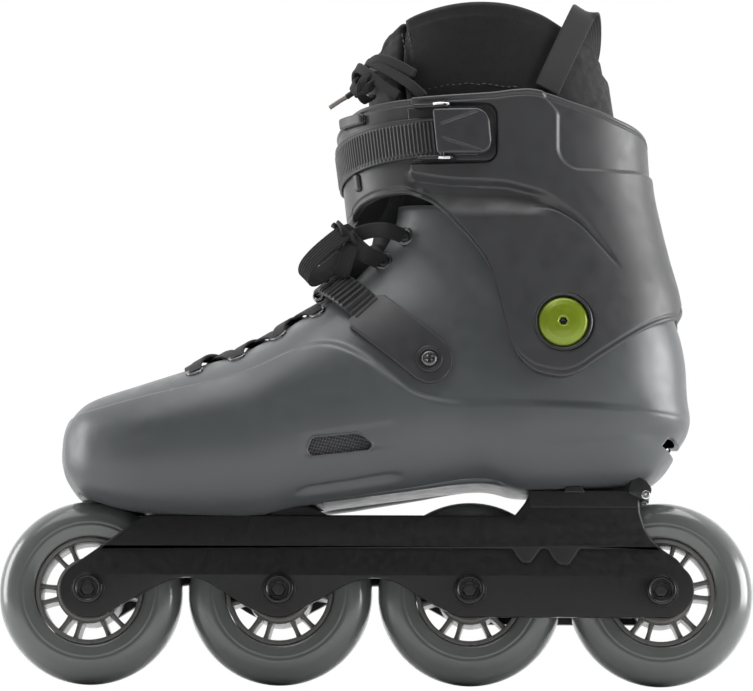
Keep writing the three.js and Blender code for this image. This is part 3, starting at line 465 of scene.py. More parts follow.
def plate(outline, y0, y1, bevel):
    """A side-view outline of [x, z] corners as a plate from y0 to y1, with its edges rounded inwards."""
    outline = np.asarray(outline, float)
    ahead = unit(np.roll(outline, -1, 0) - outline)
    behind = unit(outline - np.roll(outline, 1, 0))
    area = np.sum(outline[:, 0] * np.roll(outline[:, 1], -1) - np.roll(outline[:, 0], -1) * outline[:, 1])
    normal = lambda d: np.stack([-d[:, 1], d[:, 0]], -1) * (1 if area > 0 else -1)
    inwards = unit(normal(ahead) + normal(behind))
    inwards = inwards / np.maximum(np.einsum("ij,ij->i", inwards, normal(ahead)), 0.5)[:, None]
    rings = []
    for angle in np.linspace(0, PI / 2, 4):
        rings.append((outline + inwards * bevel * (1 - math.sin(angle)), y0 + bevel * (1 - math.cos(angle))))
    for angle in np.linspace(PI / 2, 0, 4):
        rings.append((outline + inwards * bevel * (1 - math.sin(angle)), y1 - bevel * (1 - math.cos(angle))))
    grid = np.stack([np.stack([o[:, 0], np.full(len(o), y), o[:, 1]], -1) for o, y in rings])
    n, k = grid.shape[:2]
    faces = [lattice(n, k, False, True)]
    cap = np.array(tessellate_polygon([[Vector((*p, 0)) for p in rings[0][0]]]))
    points = grid.reshape(-1, 3)
    faces_down = unit(np.cross(points[cap[:, 1]] - points[cap[:, 0]],
                               points[cap[:, 2]] - points[cap[:, 0]]).sum(0))
    if faces_down[1] > 0:
        cap = cap[:, ::-1]
    faces += [cap, cap[:, ::-1] + (n - 1) * k]
    quad = faces[0]
    out = np.cross(points[quad[:, 2]] - points[quad[:, 0]], points[quad[:, 3]] - points[quad[:, 1]])
    if np.einsum("ij,ij->", out[:, [0, 2]], -inwards[quad[:, 0] % k]) < 0:
        faces[0] = quad[:, ::-1]
    return points, faces, None


def straighten(made, angle=30):
    """Flat faces stay flat, and only shallow edges are shaded smooth."""
    made.data.set_sharp_from_angle(angle=math.radians(angle))
    return made


# ---- the boot's sections: top x, top z, sole x, sole z, half width, shift ----
SHELL = [
    (-136.8, 103, -136.8, 97, 7, 5), (-134.9, 112.5, -134, 88.5, 22, 5), (-130.4, 119.6, -128.2, 81.5, 31, 5),
    (-122, 125, -119, 77.3, 38.5, 4.5), (-103, 131, -101, 73.4, 46, 4), (-78, 139, -76, 72.4, 49.5, 3.5),
    (-56, 146.5, -50, 72.6, 50, 3), (-34, 159.5, -33, 76.6, 48.5, 2), (-22, 169.5, 8, 82.4, 46, 1),
    (-12, 178.5, 44, 86.2, 44, 0), (-5, 186, 63, 83.2, 43, 0), (0, 193, 92, 83.6, 42.5, 0),
    (2.5, 201, 119, 87, 42.5, 0), (3, 209, 132, 102, 43.5, 0), (2, 217, 135.4, 125, 43.5, 0),
    (1, 225, 133, 151, 43, 0), (-1, 240, 121, 182, 42, 0),
]
CAVITY = [
    (-133, 104, -133, 97, 8, 5), (-128, 113, -127.5, 89, 24, 5), (-119, 119.5, -118, 86.8, 34, 4.5),
    (-102, 126, -101, 86, 42.7, 4), (-77, 135, -76, 86, 46.2, 3.5), (-54, 143.5, -48, 86, 46.8, 3),
    (-32, 156.3, -24, 86.8, 45.3, 2), (-20, 166, 8, 88.8, 42.8, 1), (-9.5, 175, 40, 92.2, 40.8, 0),
    (-2.5, 182.5, 64, 90.5, 39.8, 0), (3, 190, 92, 90.5, 39.3, 0), (5.5, 199, 115, 93.5, 39.3, 0),
    (6, 207, 128, 104.5, 40.2, 0), (5, 216, 131.6, 125, 40.2, 0), (4, 224, 129.5, 150, 39.7, 0),
]
COLLAR = [
    (1, 232, 114, 187, 38.8, 0), (-3, 250, 109, 221, 41, 0), (-5, 268, 104, 251, 41.5, 0),
    (-4, 286, 100.5, 276, 41, 0), (-3, 312, 97, 307, 39, 0),
]
HEEL_RISE = (0, 0, 0, 0, 0, 0, 0, 1, 4, 6.4, 6.4, 6.4, 3, 0.5, 0)
LINER_GAP = 1.2


def inset(sections, top, sole, side):
    out = []
    for i, (tx, tz, sx, sz, half, shift) in enumerate(sections):
        way = unit(np.array([sx - tx, sz - tz]))
        rise = sole if np.isscalar(sole) else sole[i]
        out.append((tx + way[0] * top, tz + way[1] * top, sx - way[0] * rise, sz - way[1] * rise,
                    half - side, shift))
    return out


LINER = inset(CAVITY, LINER_GAP, [r + LINER_GAP for r in HEEL_RISE], LINER_GAP) + COLLAR


def boot_point(sections, s, turns):
    """A point of the boot's skin: s counts sections from the toe, and turns is 0 on the top line and pi on
    the sole."""
    row = spline(sections, s)
    tx, tz, sx, sz, half, shift = np.moveaxis(row, -1, 0)
    c, n = np.cos(turns), np.sin(turns)
    lean = np.abs(tx - sx) / np.hypot(tx - sx, tz - sz)
    sole_power = 3.2 + (2.3 - 3.2) * smooth(0.55, 0.8, lean)
    power = np.where(c > 0, 2.2, sole_power)
    reach = (np.abs(c) ** power + np.abs(n) ** power) ** (-1 / power)
    rise, across = c * reach, n * reach
    return np.stack([(tx + sx) / 2 + (tx - sx) / 2 * rise, shift + half * across,
                     (tz + sz) / 2 + (tz - sz) / 2 * rise], -1)


def boot_normal(sections, s, turns):
    e = 1e-3
    ds = boot_point(sections, s + e, turns) - boot_point(sections, s - e, turns)
    dt = boot_point(sections, s, turns + e) - boot_point(sections, s, turns - e)
    return unit(np.cross(ds, dt))


def lengths(sections, turns, count=400):
    """Section counts and the length along the skin that they stand for, at one turn."""
    s = np.linspace(0, len(sections) - 1, count)
    p = boot_point(sections, s, np.full(count, turns))
    return s, np.concatenate([[0], np.cumsum(np.linalg.norm(np.diff(p, axis=0), axis=1))])


def boot_wall(sections, opening, rim, rows, cols, wall, rounding, relief):
    """The boot's wall with rounded rims. opening(s) is the half turn left open along the top,
    rim(x) the height where it ends, relief(points, rim distance) its surface detail."""
    scan_s, scan_l = lengths(sections, PI / 2)
    edge = np.array([0, 0.12, 0.3, 0.6, 1.0]) * rounding
    girth = 250.0
    f = np.linspace(0, 1, cols)
    f = np.concatenate([edge / girth,
                        f[(f > rounding / girth + 0.001) & (f < 1 - rounding / girth - 0.001)],
                        1 - edge[::-1] / girth])
    fine = np.linspace(0, len(sections) - 1, 900)
    ends = []
    for share in f:
        o = opening(fine)
        p = boot_point(sections, fine, o + (2 * PI - 2 * o) * share)
        over = (p[:, 2] > rim(p[:, 0])) & (fine > 0.4 * len(sections))
        k = int(np.argmax(over)) if over.any() else len(fine) - 1
        if over.any() and k > 0:
            a, b = (p[k - 1, 2] - rim(p[k - 1, 0])), (p[k, 2] - rim(p[k, 0]))
            ends.append(fine[k - 1] + (fine[k] - fine[k - 1]) * (-a / (b - a)))
        else:
            ends.append(fine[k])
    ends = np.interp(np.array(ends), scan_s, scan_l)[None, :]
    t = np.linspace(0, 1, rows)
    levels = np.concatenate([ends * t[t < 0.985][:, None], ends - edge[::-1][:, None]])
    s = np.interp(levels, scan_l, scan_s)
    o = opening(s)
    turns = o + (2 * PI - 2 * o) * f[None, :]
    base = boot_point(sections, s, turns)
    normal = boot_normal(sections, s, turns)
    rows, cols = s.shape
    step = np.linalg.norm(np.diff(base, axis=1), axis=2)
    from_left = np.concatenate([np.zeros((rows, 1)), np.cumsum(step, 1)], 1)
    to_opening = np.minimum(from_left, from_left[:, -1:] - from_left)
    shut = o[:, 0] < 1e-6
    to_opening[shut] = 1e3
    step = np.linalg.norm(np.diff(base, axis=0), axis=2)
    from_toe = np.concatenate([np.zeros((1, cols)), np.cumsum(step, 0)])
    to_rim = from_toe[-1:] - from_toe
    near = np.minimum(to_rim, to_opening)
    dip = np.where(near < rounding, rounding - np.sqrt(np.maximum(rounding**2 - (rounding - near) ** 2, 0)),
                   0)
    lift = relief(base, to_rim)
    outer = base + normal * (lift - dip)[..., None]
    inner = base - normal * (wall - dip)[..., None]
    index = np.arange(rows * cols).reshape(rows, cols)
    index[shut, -1] = index[shut, 0]
    index[0, :] = index[0, 0]
    outer[0, :], inner[0, :] = outer[0].mean(0), inner[0].mean(0)
    a, b, c, d = index[:-1, :-1], index[1:, :-1], index[1:, 1:], index[:-1, 1:]
    skin = np.stack([a, b, c, d], -1).reshape(-1, 4)
    n = rows * cols
    faces = [skin, skin[:, ::-1] + n]
    top = np.stack([index[-1, :-1], index[-1, :-1] + n, index[-1, 1:] + n, index[-1, 1:]], -1)
    faces.append(top)
    free = ~(shut[:-1] & shut[1:])
    left = np.stack([index[:-1, 0], index[:-1, 0] + n, index[1:, 0] + n, index[1:, 0]], -1)[free]
    right = np.stack([index[:-1, -1], index[1:, -1], index[1:, -1] + n, index[:-1, -1] + n], -1)[free]
    faces += [left, right]
    points = np.concatenate([outer.reshape(-1, 3), inner.reshape(-1, 3)])
    used = np.unique(np.concatenate([x.ravel() for x in faces]))
    renumber = np.zeros(len(points), int)
    renumber[used] = np.arange(len(used))
    faces = facing_out(points, faces)
    lay = np.stack([from_toe, from_left, near], -1).reshape(-1, 3)
    lay = np.concatenate([lay, lay])
    return points[used], [renumber[x] for x in faces], lay[used]


def polar(angle):
    """The turn whose point stands for an angle of the CAD's sections, near the top line."""
    return np.arctan(np.tan(angle) ** (2 / 2.2))


THROAT_START = 4.62
THROAT_ANGLES = polar(np.array([0.3, 0.3, 0.3, 0.32, 0.34, 0.36, 0.38, 0.4, 0.42, 0.45, 0.5, 0.55, 0.6]))


def throat(s):
    wide = np.interp(s, np.arange(13) + 4.0, THROAT_ANGLES)
    t = np.clip((s - THROAT_START) / 0.55, 0, 1)
    return wide * np.sqrt(np.maximum(1 - (1 - t) ** 2, 0))


RIM_X = (-10, 12, 30, 45, 60, 80, 105, 130)
RIM_Z = (208, 207, 205, 196, 184, 174, 169, 168)
CREASE = np.array([(-140, 114.5), (-124.5, 115.5), (-97.5, 121.2), (-69.7, 127), (-51.3, 132.7),
                   (-37.1, 139.2),
                   (-26, 142.8), (-15.9, 142.4), (-4.5, 137.1), (5, 130.6), (11.1, 126.5), (17, 122.3),
                   (26, 119.2),
                   (37.7, 117.9), (65.5, 117.9), (100, 117), (127.5, 115.7), (140, 115.2)])
CREASE_SMOOTH = along(CREASE, 300)


def box_distance(x, z, cx, cz, hx, hz, r):
    qx, qz = np.abs(x - cx) - hx + r, np.abs(z - cz) - hz + r
    return np.hypot(np.maximum(qx, 0), np.maximum(qz, 0)) + np.minimum(np.maximum(qx, qz), 0) - r


def shell_relief(p, _=None):
    """The toe and heel crease, the vent's channel, the grooves under the arch, and the heel's jut."""
    x, y, z = p[..., 0], p[..., 1], p[..., 2]
    line = np.interp(x, CREASE_SMOOTH[:, 0], CREASE_SMOOTH[:, 1])
    height = np.interp(x, (-140, -100, -40, -10, 20, 38, 55, 66, 90, 140),
                       (1.1, 1.5, 1.9, 2.6, 2.0, 0.8, 0.35, 0.9, 1.1, 1.0))
    width = np.interp(x, (-140, -60, -30, 5, 15, 40, 66, 140), (1.8, 2.2, 4.0, 7.5, 4.5, 3.5, 1.8, 1.8))
    side = smooth(0.25, 0.6, np.abs(y - 3) / 45)
    front = smooth(-112, -125, x)
    lift = smooth(0, 1, (line - z) / width + 0.5) * height * np.maximum(side, 0.5 * front)
    # A shallow channel runs back from the vent.
    low, high = 94.3 + (x + 28) * 0.12, 102.6 + (x + 28) * 0.155
    channel = smooth(low, low + 1.2, z) * smooth(high + 1.2, high, z)
    channel = channel * smooth(-33, -26, x) * smooth(13, -2, x)
    lift = lift - 0.8 * channel * side
    # Two grooves run along the arch's underside.
    under = smooth(94, 88, z)
    for middle, a, b in ((32.5, -36, 14), (20, -26, 57)):
        groove = np.exp(-((np.abs(y) - middle) / 1.7) ** 2) * smooth(a, a + 9, x) * smooth(b, b - 9, x)
        lift = lift - 2.4 * groove * under
    # The heel juts out along the crease, and draws in below it.
    behind = smooth(108, 131, x)
    lift = lift + behind * (1.9 * np.exp(-((z - line) / 8.0) ** 2) - 1.0 * smooth(line - 5, line - 13, z))
    # A soft facet over the heel.
    above = smooth(-0.5, 0.5, (z - (99.5 + (x - 62) * 0.11)) / 3.0)
    heel = above * smooth(50, 75, x) * smooth(128, 112, x) * smooth(112, 104, z)
    return lift - 0.35 * heel * side


# A skin without openings, which straps, screws and laces are laid on.
PROXY_S = np.linspace(0, 16, 400)
PROXY_T = np.linspace(0, 2 * PI, 240, endpoint=False)
proxy = boot_point(SHELL, PROXY_S[:, None], np.broadcast_to(PROXY_T, (400, 240)))
proxy = proxy + boot_normal(SHELL, PROXY_S[:, None],
                            np.broadcast_to(PROXY_T, (400, 240))) * shell_relief(proxy)[..., None]
SKIN = BVHTree.FromPolygons([Vector(p) for p in proxy.reshape(-1, 3)],
                            lattice(400, 240, False, True).tolist())


def skin_hit(place, way):
    """Where a ray meets the boot's skin, and the skin's normal there."""
    hit, normal, _, _ = SKIN.ray_cast(Vector(place), Vector(way))
    if hit is None:
        raise ValueError(f"no skin on the way from {place}")
    n = np.array(normal)
    return np.array(hit), n if n @ np.array(way) > 0 else -n


def side_hit(x, z, side=-1):
    """The skin's point and normal beyond a side-view place."""
    return skin_hit((x, 0, z), (0, side, 0))


# ---- the cuff's rings: height, front, back, half width ----
RINGS = np.array([(110, 4, 136.5, 47.5), (152, -6, 135, 48), (166, -9, 133.9, 48), (178, -10.5, 130.6, 48),
                  (190, -12, 127.3, 48),
                  (210, -14.2, 122.6, 48.6), (222, -15.8, 120.7, 49.1), (243, -18.6, 119.9, 50),
                  (275, -22, 119.5, 51.5)])
RING_Z = np.arange(110, 276, 15.0)
EVEN_RINGS = np.stack([np.interp(RING_Z, RINGS[:, 0], RINGS[:, k]) for k in (1, 2, 3)], -1)
CUFF_WALL = 3.2
CUFF_POWER = 2.6


def cuff_point(z, turns, offset):
    """A point on the cuff; turns is 0 at the heel and pi at the front, negative on the outer side."""
    front, back, half = np.moveaxis(spline(EVEN_RINGS, (z - 110) / 15.0), -1, 0)
    c, n = np.cos(turns), np.sin(turns)
    reach = (np.abs(c) ** CUFF_POWER + np.abs(n) ** CUFF_POWER) ** (-1 / CUFF_POWER)
    return np.stack([(front + back) / 2 + ((back - front) / 2 + offset) * c * reach,
                     (half + offset) * n * reach, z + 0 * turns], -1)


def cuff_turn(x, z, side=-1):
    fine = np.linspace(0.02, PI - 0.02, 2000)
    p = cuff_point(np.full(2000, float(z)), fine, 0.0)
    return side * float(np.interp(-x, -p[:, 0], fine))


CUFF_TOP = np.array([(-30, 238), (-18.5, 241.5), (-14, 244.5), (-7.3, 248), (5, 249.5), (18.2, 250.2),
                     (48, 251.8), (60, 253.2),
                     (67.9, 253.4), (76.5, 251.3), (85, 248.6), (97.2, 245.4), (104.6, 243.0),
                     (113.2, 240.6), (118, 238.6), (121, 237.8), (150, 237.4)])
CUFF_LOW = np.array([(-40, 200), (-13.5, 200.4), (-10, 203.6), (-6.6, 206.2), (-1, 208), (3.3, 208.6),
                     (9, 208.9), (14.5, 208.3),
                     (23.2, 204.6), (30, 199.5), (36.1, 193.2), (42.5, 186), (48.2, 178.2), (51.5, 171),
                     (53.8, 163.1), (56.6, 151.5),
                     (59.4, 142.5), (62, 137), (65.4, 133.1), (70, 130), (76.8, 128.3), (81, 128),
                     (85, 129), (89, 131), (94.1, 134.9),
                     (103, 141.3), (111.6, 147.3), (117.5, 151), (123.2, 154), (129.2, 156.4), (131.8, 159),
                     (134.4, 163), (160, 165)])
CUFF_TOP_SMOOTH, CUFF_LOW_SMOOTH = along(CUFF_TOP, 500), along(CUFF_LOW, 700)
PIVOT_X, PIVOT_Z = 81.1, 151.9
SCOOP_HIGH = along([(14, 217), (17.5, 216.3), (32.2, 213.7), (53.7, 212.4), (62.1, 210.8), (77.3, 206.2),
                    (87.7, 198.8), (95.3, 190.8), (104.2, 178.4)], 200)
SCOOP_LOW = along([(14, 211), (19.3, 208.8), (25.8, 204.4), (40.8, 202.4), (53.7, 202.6), (62.1, 202.8),
                   (74.9, 202.2), (86.4, 196.2), (94, 188.6), (104.2, 176.6)], 200)
PANEL_CORNER = 10.0


def cuff_relief(p):
    """How far the cuff stands out or in: the thick panel, the hollow, the back panel and the bolt's seat."""
    x, y, z = p[..., 0], p[..., 1], p[..., 2]
    outer = y < 0
    # The thick panel starts behind the ladder strap.
    start = np.where(outer, 16.0, 42.0)
    wide = np.where(outer, 1.3 + 8.0 * smooth(220.5, 213, z), 8.0)
    panel = smooth(0, 1, (x - start) / wide + 0.5) * 2.2 * smooth(0.12, 0.75, np.abs(y) / 48)
    panel = panel * np.where(outer, 1, smooth(-0.2, 0.5, np.abs(y) / 45))
    pocket = box_distance(x, z, 24.0, 233.9, 28.6, 12.9, 5.5)
    panel = panel * np.where(outer, smooth(-0.55, 0.55, pocket), 1)
    # A leaf-shaped hollow under the buckle: a soft bowl in front, and a crisp cut towards its tail.
    high = np.interp(x, SCOOP_HIGH[:, 0], SCOOP_HIGH[:, 1])
    low = np.interp(x, SCOOP_LOW[:, 0], SCOOP_LOW[:, 1])
    in_front, behind = smooth(12, 17, x), smooth(105.5, 99, x)
    soft = np.interp(x, (14, 45, 75, 99), (5.0, 3.6, 2.0, 1.0))
    down = np.clip((high - z) / np.maximum(high - low + 6, 1), -1, 2)
    bowl = np.interp(x, (14, 22, 60, 85), (3.6, 4.4, 4.2, 2.8)) * smooth(0, 1, (high - z) / soft + 0.35)
    bowl = bowl * smooth(1.0, 0.25, down)
    share = np.clip((high - z) / np.maximum(high - low, 1.8), 0, 1)
    cut = np.interp(x, (60, 85, 104), (3.6, 2.6, 0.9)) * smooth(0, 1.15, share)
    cut = cut * smooth(low - 1.3, low + 0.5, z)
    leaf = (bowl + (cut - bowl) * smooth(66, 80, x)) * in_front * behind * smooth(0.3, 0.6, np.abs(y) / 48)
    # The upper back panel lies a little deeper.
    from_front = PANEL_CORNER - (x - 78.2 + 6.0 * smooth(242, 252, z))
    from_low = PANEL_CORNER - (z - np.interp(x, (80, 90, 105, 120), (218.6, 218.8, 219.4, 221.4)))
    past = np.hypot(np.maximum(from_front, 0),
                    np.maximum(from_low, 0)) + np.minimum(np.maximum(from_front, from_low), 0) - PANEL_CORNER
    recess = smooth(0.9, -0.9, past)
    # A seat round the pivot bolt.
    far = np.hypot(x - PIVOT_X, z - PIVOT_Z)
    seat = smooth(12.6, 11.6, far) * 2.0
    return panel - 1.3 * recess - np.minimum(leaf, panel + 1.9) - seat


# ---- materials ----
class Look:
    """A Principled material whose patterns are measured in millimetres."""

    def __init__(self, name, color, roughness, **sockets):
        self.made = bpy.data.materials.new(name)
        self.made.use_nodes = True
        self.tree = self.made.node_tree
        self.shader = self.tree.nodes["Principled BSDF"]
        self.shader.inputs["Base Color"].default_value = (*color, 1)
        self.shader.inputs["Roughness"].default_value = roughness
        for key, value in sockets.items():
            self.shader.inputs[key.replace("_", " ")].default_value = value
        place = self.add("TexCoord").outputs["Object"]
        self.place = self.add("VectorMath", {"operation": "SCALE"}, Vector=place, Scale=1000.0).outputs[0]
        self.lay = self.add("Attribute", {"attribute_name": "lay"}).outputs["Vector"]
        self.color, self.roughness = color, roughness
        self.bump = None

    def add(self, kind, settings=None, **sockets):
        return tree_add(self.tree, kind, settings, **sockets)

    def math(self, kind, a, b=0.0, c=0.0):
        return self.add("Math", {"operation": kind}, i0=a, i1=b, i2=c).outputs[0]

    def noise(self, size, detail=3.0, where=None, rough=0.5):
        return self.add("TexNoise", Vector=where or self.place, Scale=1 / size, Detail=detail,
                        Roughness=rough).outputs["Fac"]

    def spread(self, value, low, high, a=0.3, b=0.7):
        return self.add("MapRange", Value=value, From_Min=a, From_Max=b, To_Min=low, To_Max=high).outputs[0]

    def wave(self, size, where, turn=0.0):
        """A ridge every `size` millimetres, from 0 to 1."""
        axes = self.add("SeparateXYZ", Vector=where).outputs
        c, s = math.cos(turn), math.sin(turn)
        way = self.math("MULTIPLY_ADD", axes["X"], c * 2 * PI / size,
                        self.math("MULTIPLY", axes["Y"], s * 2 * PI / size))
        return self.math("MULTIPLY_ADD", self.math("SINE", way), 0.5, 0.5)

    def tint(self, value, low, high):
        """The base colour runs from `low` to `high` times itself."""
        a = [min(1, x * low) for x in self.color]
        b = [min(1, x * high) for x in self.color]
        mix = self.add("Mix", {"data_type": "RGBA"}, i0=value, i6=(*a, 1), i7=(*b, 1)).outputs[2]
        self.tree.links.new(mix, self.shader.inputs["Base Color"])

    def rough(self, value, low, high):
        self.tree.links.new(self.spread(value, low, high), self.shader.inputs["Roughness"])

    def raised(self, height, depth, strength=1.0):
        """Adds a bump of so many millimetres."""
        more = {} if self.bump is None else {"Normal": self.bump}
        self.bump = self.add("Bump", Height=height, Distance=depth * MM, Strength=strength, **more).outputs[0]
        self.tree.links.new(self.bump, self.shader.inputs["Normal"])

    def edge_wear_and_highlight(self, fac, low=0.52, high=0.6):
        # Paler convex edges: partly edge wear, partly a painted highlight where bevels catch the light.
        pointy = self.add("NewGeometry").outputs["Pointiness"]
        return self.math("ADD", fac, self.spread(pointy, 0.0, 0.35, low, high))


def moulded(name, color, roughness, grain=0.35, depth=0.02, cloud=0.10, **sockets):
    """Moulded plastic: a fine grain, faint flow clouds, and slightly paler edges, partly wear and partly a
    painted highlight.
    """
    look = Look(name, color, roughness, **sockets)
    clouds = look.noise(38, 3.0)
    fine = look.noise(grain, 2.0)
    tone = look.math("ADD", look.spread(clouds, 0.0, 0.6), look.spread(fine, 0.0, 0.25))
    look.tint(look.edge_wear_and_highlight(tone), 1 - cloud, 1 + cloud)
    look.rough(look.noise(6, 4.0), roughness - 0.05, roughness + 0.06)
    look.raised(fine, depth)
    look.raised(look.noise(9, 2.0), 0.05, 0.5)
    return look.made


def metal(name, color, roughness, grain=0.2, depth=0.008, metallic=1.0, **sockets):
    look = Look(name, color, roughness, Metallic=metallic, **sockets)
    fine = look.noise(grain, 3.0)
    # The paler edges are partly wear and partly a painted highlight.
    look.tint(look.edge_wear_and_highlight(look.spread(fine, 0.2, 0.8)), 0.85, 1.2)
    look.rough(look.noise(3, 3.0), roughness - 0.06, roughness + 0.08)
    look.raised(fine, depth)
    return look.made


def woven(name, color, size, depth, on_lay=True, roughness=0.85, sheen=0.25, tilt=0.0, fuzz=0.4,
          spread=(0.6, 1.5)):
    """Cloth: threads over and under each other."""
    look = Look(name, color, roughness, Sheen_Weight=sheen, Sheen_Roughness=0.4)
    if on_lay:
        where = look.lay
    else:
        axes = look.add("SeparateXYZ", Vector=look.place).outputs
        across = look.math("ADD", axes["X"], look.math("MULTIPLY", axes["Y"], 0.9))
        where = look.add("CombineXYZ", X=across, Y=axes["Z"]).outputs[0]
    one = look.wave(size, where, tilt)
    two = look.wave(size, where, tilt + PI / 2)
    thread = look.math("ADD", look.math("MULTIPLY", one, two),
                       look.math("MULTIPLY", look.math("SUBTRACT", 1.0, one),
                                 look.math("SUBTRACT", 1.0, two)))
    hair = look.noise(size * 0.5, 3.0)
    look.tint(look.math("MULTIPLY_ADD", hair, fuzz, look.math("MULTIPLY", thread, 1 - fuzz)), *spread)
    look.raised(thread, depth)
    look.raised(hair, depth * 0.6)
    return look.made


def urethane():
    """Poured wheel urethane: smoky, glossy, a little light inside, with faint clouds and a fine bump."""
    look = Look("urethane", (0.086, 0.092, 0.090), 0.22, Coat_Weight=0.35, Coat_Roughness=0.12,
                Subsurface_Weight=0.25,
                Subsurface_Scale=0.004, IOR=1.5)
    look.shader.inputs["Subsurface Radius"].default_value = (1.0, 1.0, 1.0)
    clouds = look.noise(14, 3.0)
    look.tint(look.spread(clouds, 0.0, 1.0), 0.96, 1.05)
    look.rough(look.noise(2.2, 4.0), 0.2, 0.27)
    look.raised(look.noise(5, 3.0), 0.03, 0.6)
    return look.made


def knit():
    """The liner's outer cloth: a smooth, closely knitted face with a soft sheen."""
    look = Look("liner_knit", (0.0055, 0.0054, 0.0056), 0.7, Sheen_Weight=0.015, Sheen_Roughness=0.5,
                Specular_IOR_Level=0.2)
    axes = look.add("SeparateXYZ", Vector=look.place).outputs
    across = look.math("ADD", axes["X"], look.math("MULTIPLY", axes["Y"], 0.8))
    where = look.add("CombineXYZ", X=across, Y=axes["Z"]).outputs[0]
    loops = look.math("MULTIPLY", look.wave(0.55, where, 0.6), look.wave(0.55, where, -0.6))
    tone = look.math("ADD", look.math("MULTIPLY", loops, 0.5), look.spread(look.noise(12, 3.0), 0.0, 0.5))
    look.tint(tone, 0.75, 1.45)
    look.rough(look.noise(4, 3.0), 0.55, 0.75)
    look.raised(loops, 0.05)
    look.raised(look.noise(7, 3.0), 0.25, 0.7)
    return look.made


LOOK = {
    "shell": moulded("shell_plastic", (0.049, 0.0535, 0.056), 0.38, cloud=0.06),
    "cuff": moulded("cuff_plastic", (0.0235, 0.0238, 0.0255), 0.44, cloud=0.07),
    "black": moulded("black_plastic", (0.010, 0.0098, 0.0105), 0.42, grain=0.25),
    "strap": moulded("strap_plastic", (0.011, 0.0105, 0.012), 0.46, grain=0.25),
    # A darker copy of the black plastic: painted shade for the instep ladder, whose teeth face the top light.
    "ladder": moulded("ladder_plastic_shaded", (0.0045, 0.0043, 0.005), 0.45, grain=0.25, Specular_IOR_Level=0.35),
    "arm": moulded("arm_plastic", (0.0165, 0.0155, 0.018), 0.48, grain=0.3),
    "lever": moulded("lever_plastic", (0.022, 0.022, 0.025), 0.40, grain=0.25),
    "frame": metal("frame_anodised", (0.016, 0.0155, 0.016), 0.42, grain=0.32, depth=0.05, metallic=0.55),
    "steel": metal("bright_steel", (0.62, 0.62, 0.64), 0.24),
    "dark_steel": metal("black_steel", (0.038, 0.037, 0.038), 0.30, metallic=0.9),
    "screw": metal("screw_steel", (0.11, 0.11, 0.112), 0.3, metallic=0.95),
    "eyelet": metal("eyelet_steel", (0.12, 0.12, 0.125), 0.25, metallic=0.95),
    "green": metal("green_anodised", (0.15, 0.205, 0.008), 0.34, grain=0.25, depth=0.006, metallic=0.35,
                   Coat_Weight=0.25),
    "urethane": urethane(),
    "hub": moulded("hub_nylon", (0.085, 0.082, 0.078), 0.30, grain=0.3, cloud=0.06),
    "knit": knit(),
    "thread": woven("stitch_thread", (0.035, 0.035, 0.036), 0.3, 0.03, roughness=0.7),
    "lace": woven("lace_cloth", (0.0042, 0.0042, 0.0045), 0.62, 0.09, sheen=0.03, spread=(0.4, 2.0)),
    "webbing": woven("webbing", (0.011, 0.011, 0.0115), 0.8, 0.12, tilt=0.0, sheen=0.05),
    "mesh": woven("vent_weave", (0.0075, 0.0075, 0.008), 1.9, 0.6, on_lay=False, tilt=0.6, fuzz=0.05,
                  spread=(0.0, 9.0)),
    "footbed": woven("footbed_cloth", (0.05, 0.05, 0.054), 0.9, 0.1, on_lay=False),
    "tip": moulded("lace_tip_film", (0.14, 0.125, 0.115), 0.3),
    "rubber": moulded("pad_rubber", (0.02, 0.02, 0.02), 0.7),
}
BOLT_SIDES = (("outer_side", -1), ("inner_side", 1))



def dress(look, *names):
    """A material for CAD nodes that stay as they are."""
    for name in names:
        nodes[name].data.materials.clear()
        nodes[name].data.materials.append(LOOK[look])


# ---- wheels ----
PITCH, WHEEL_R = 82.4, 40.0
WHEEL_AXIS = np.array([0, 1.0, 0])


def tyre(index, x):
    half = [(23.6, -10.6), (24.6, -11.2), (27.4, -11.75), (28.6, -11.95), (29.2, -11.7), (29.9, -11.9),
            (31.5, -11.75), (34.2, -10.9),
            (36.6, -9.2), (38.5, -6.7), (39.6, -3.6), (39.98, 0)]
    tread = along(half + [(r, -y) for r, y in half[-2::-1]], 90)
    body = np.concatenate([tread, [(23.6, 6.0), (23.6, -6.0)]])
    piece(f"wheel_{index}_urethane", turned(body, 160, place=(x, 0, WHEEL_R)), LOOK["urethane"],
          f"wheel_{index}",
          [f"wheel_{index}_tyre"])


def hub(index, x):
    place = np.array([x, 0, WHEEL_R])
    rim = turned([(21.3, -10.2), (23.3, -10.4), (23.3, 10.4), (21.3, 10.2), (20.9, 3), (20.9, -3)], 120,
                 0.5, place=place)
    core = turned([(11.2, -11.9), (13.2, -11.9), (14.3, -10.4), (14.3, 10.4), (13.2, 11.9), (11.2, 11.9)],
                  96, 0.5, place=place)
    parts = [rim, core]
    for pair in range(6):
        for side in (-1, 1):
            angle = math.radians(60 * pair + 10 * side + 4)
            way = np.array([math.cos(angle), 0, math.sin(angle)])
            across = np.array([-way[2], 0, way[0]])
            start = place + way * 13.6

            def spoke(u, v, h, start=start, way=way, across=across):
                flare = 1 + 0.5 * np.abs(u / 4.15 - 1) ** 3
                place = start + u[..., None] * way + (h * flare)[..., None] * across
                return place + v[..., None] * WHEEL_AXIS

            parts.append(slab(spoke, np.linspace(0, 8.3, 10), -8.2, 8.2, -0.95, 0.95, 0.6, rows=3))
    piece(f"wheel_{index}_spokes", parts, LOOK["hub"], f"wheel_{index}", [f"wheel_{index}_hub"])


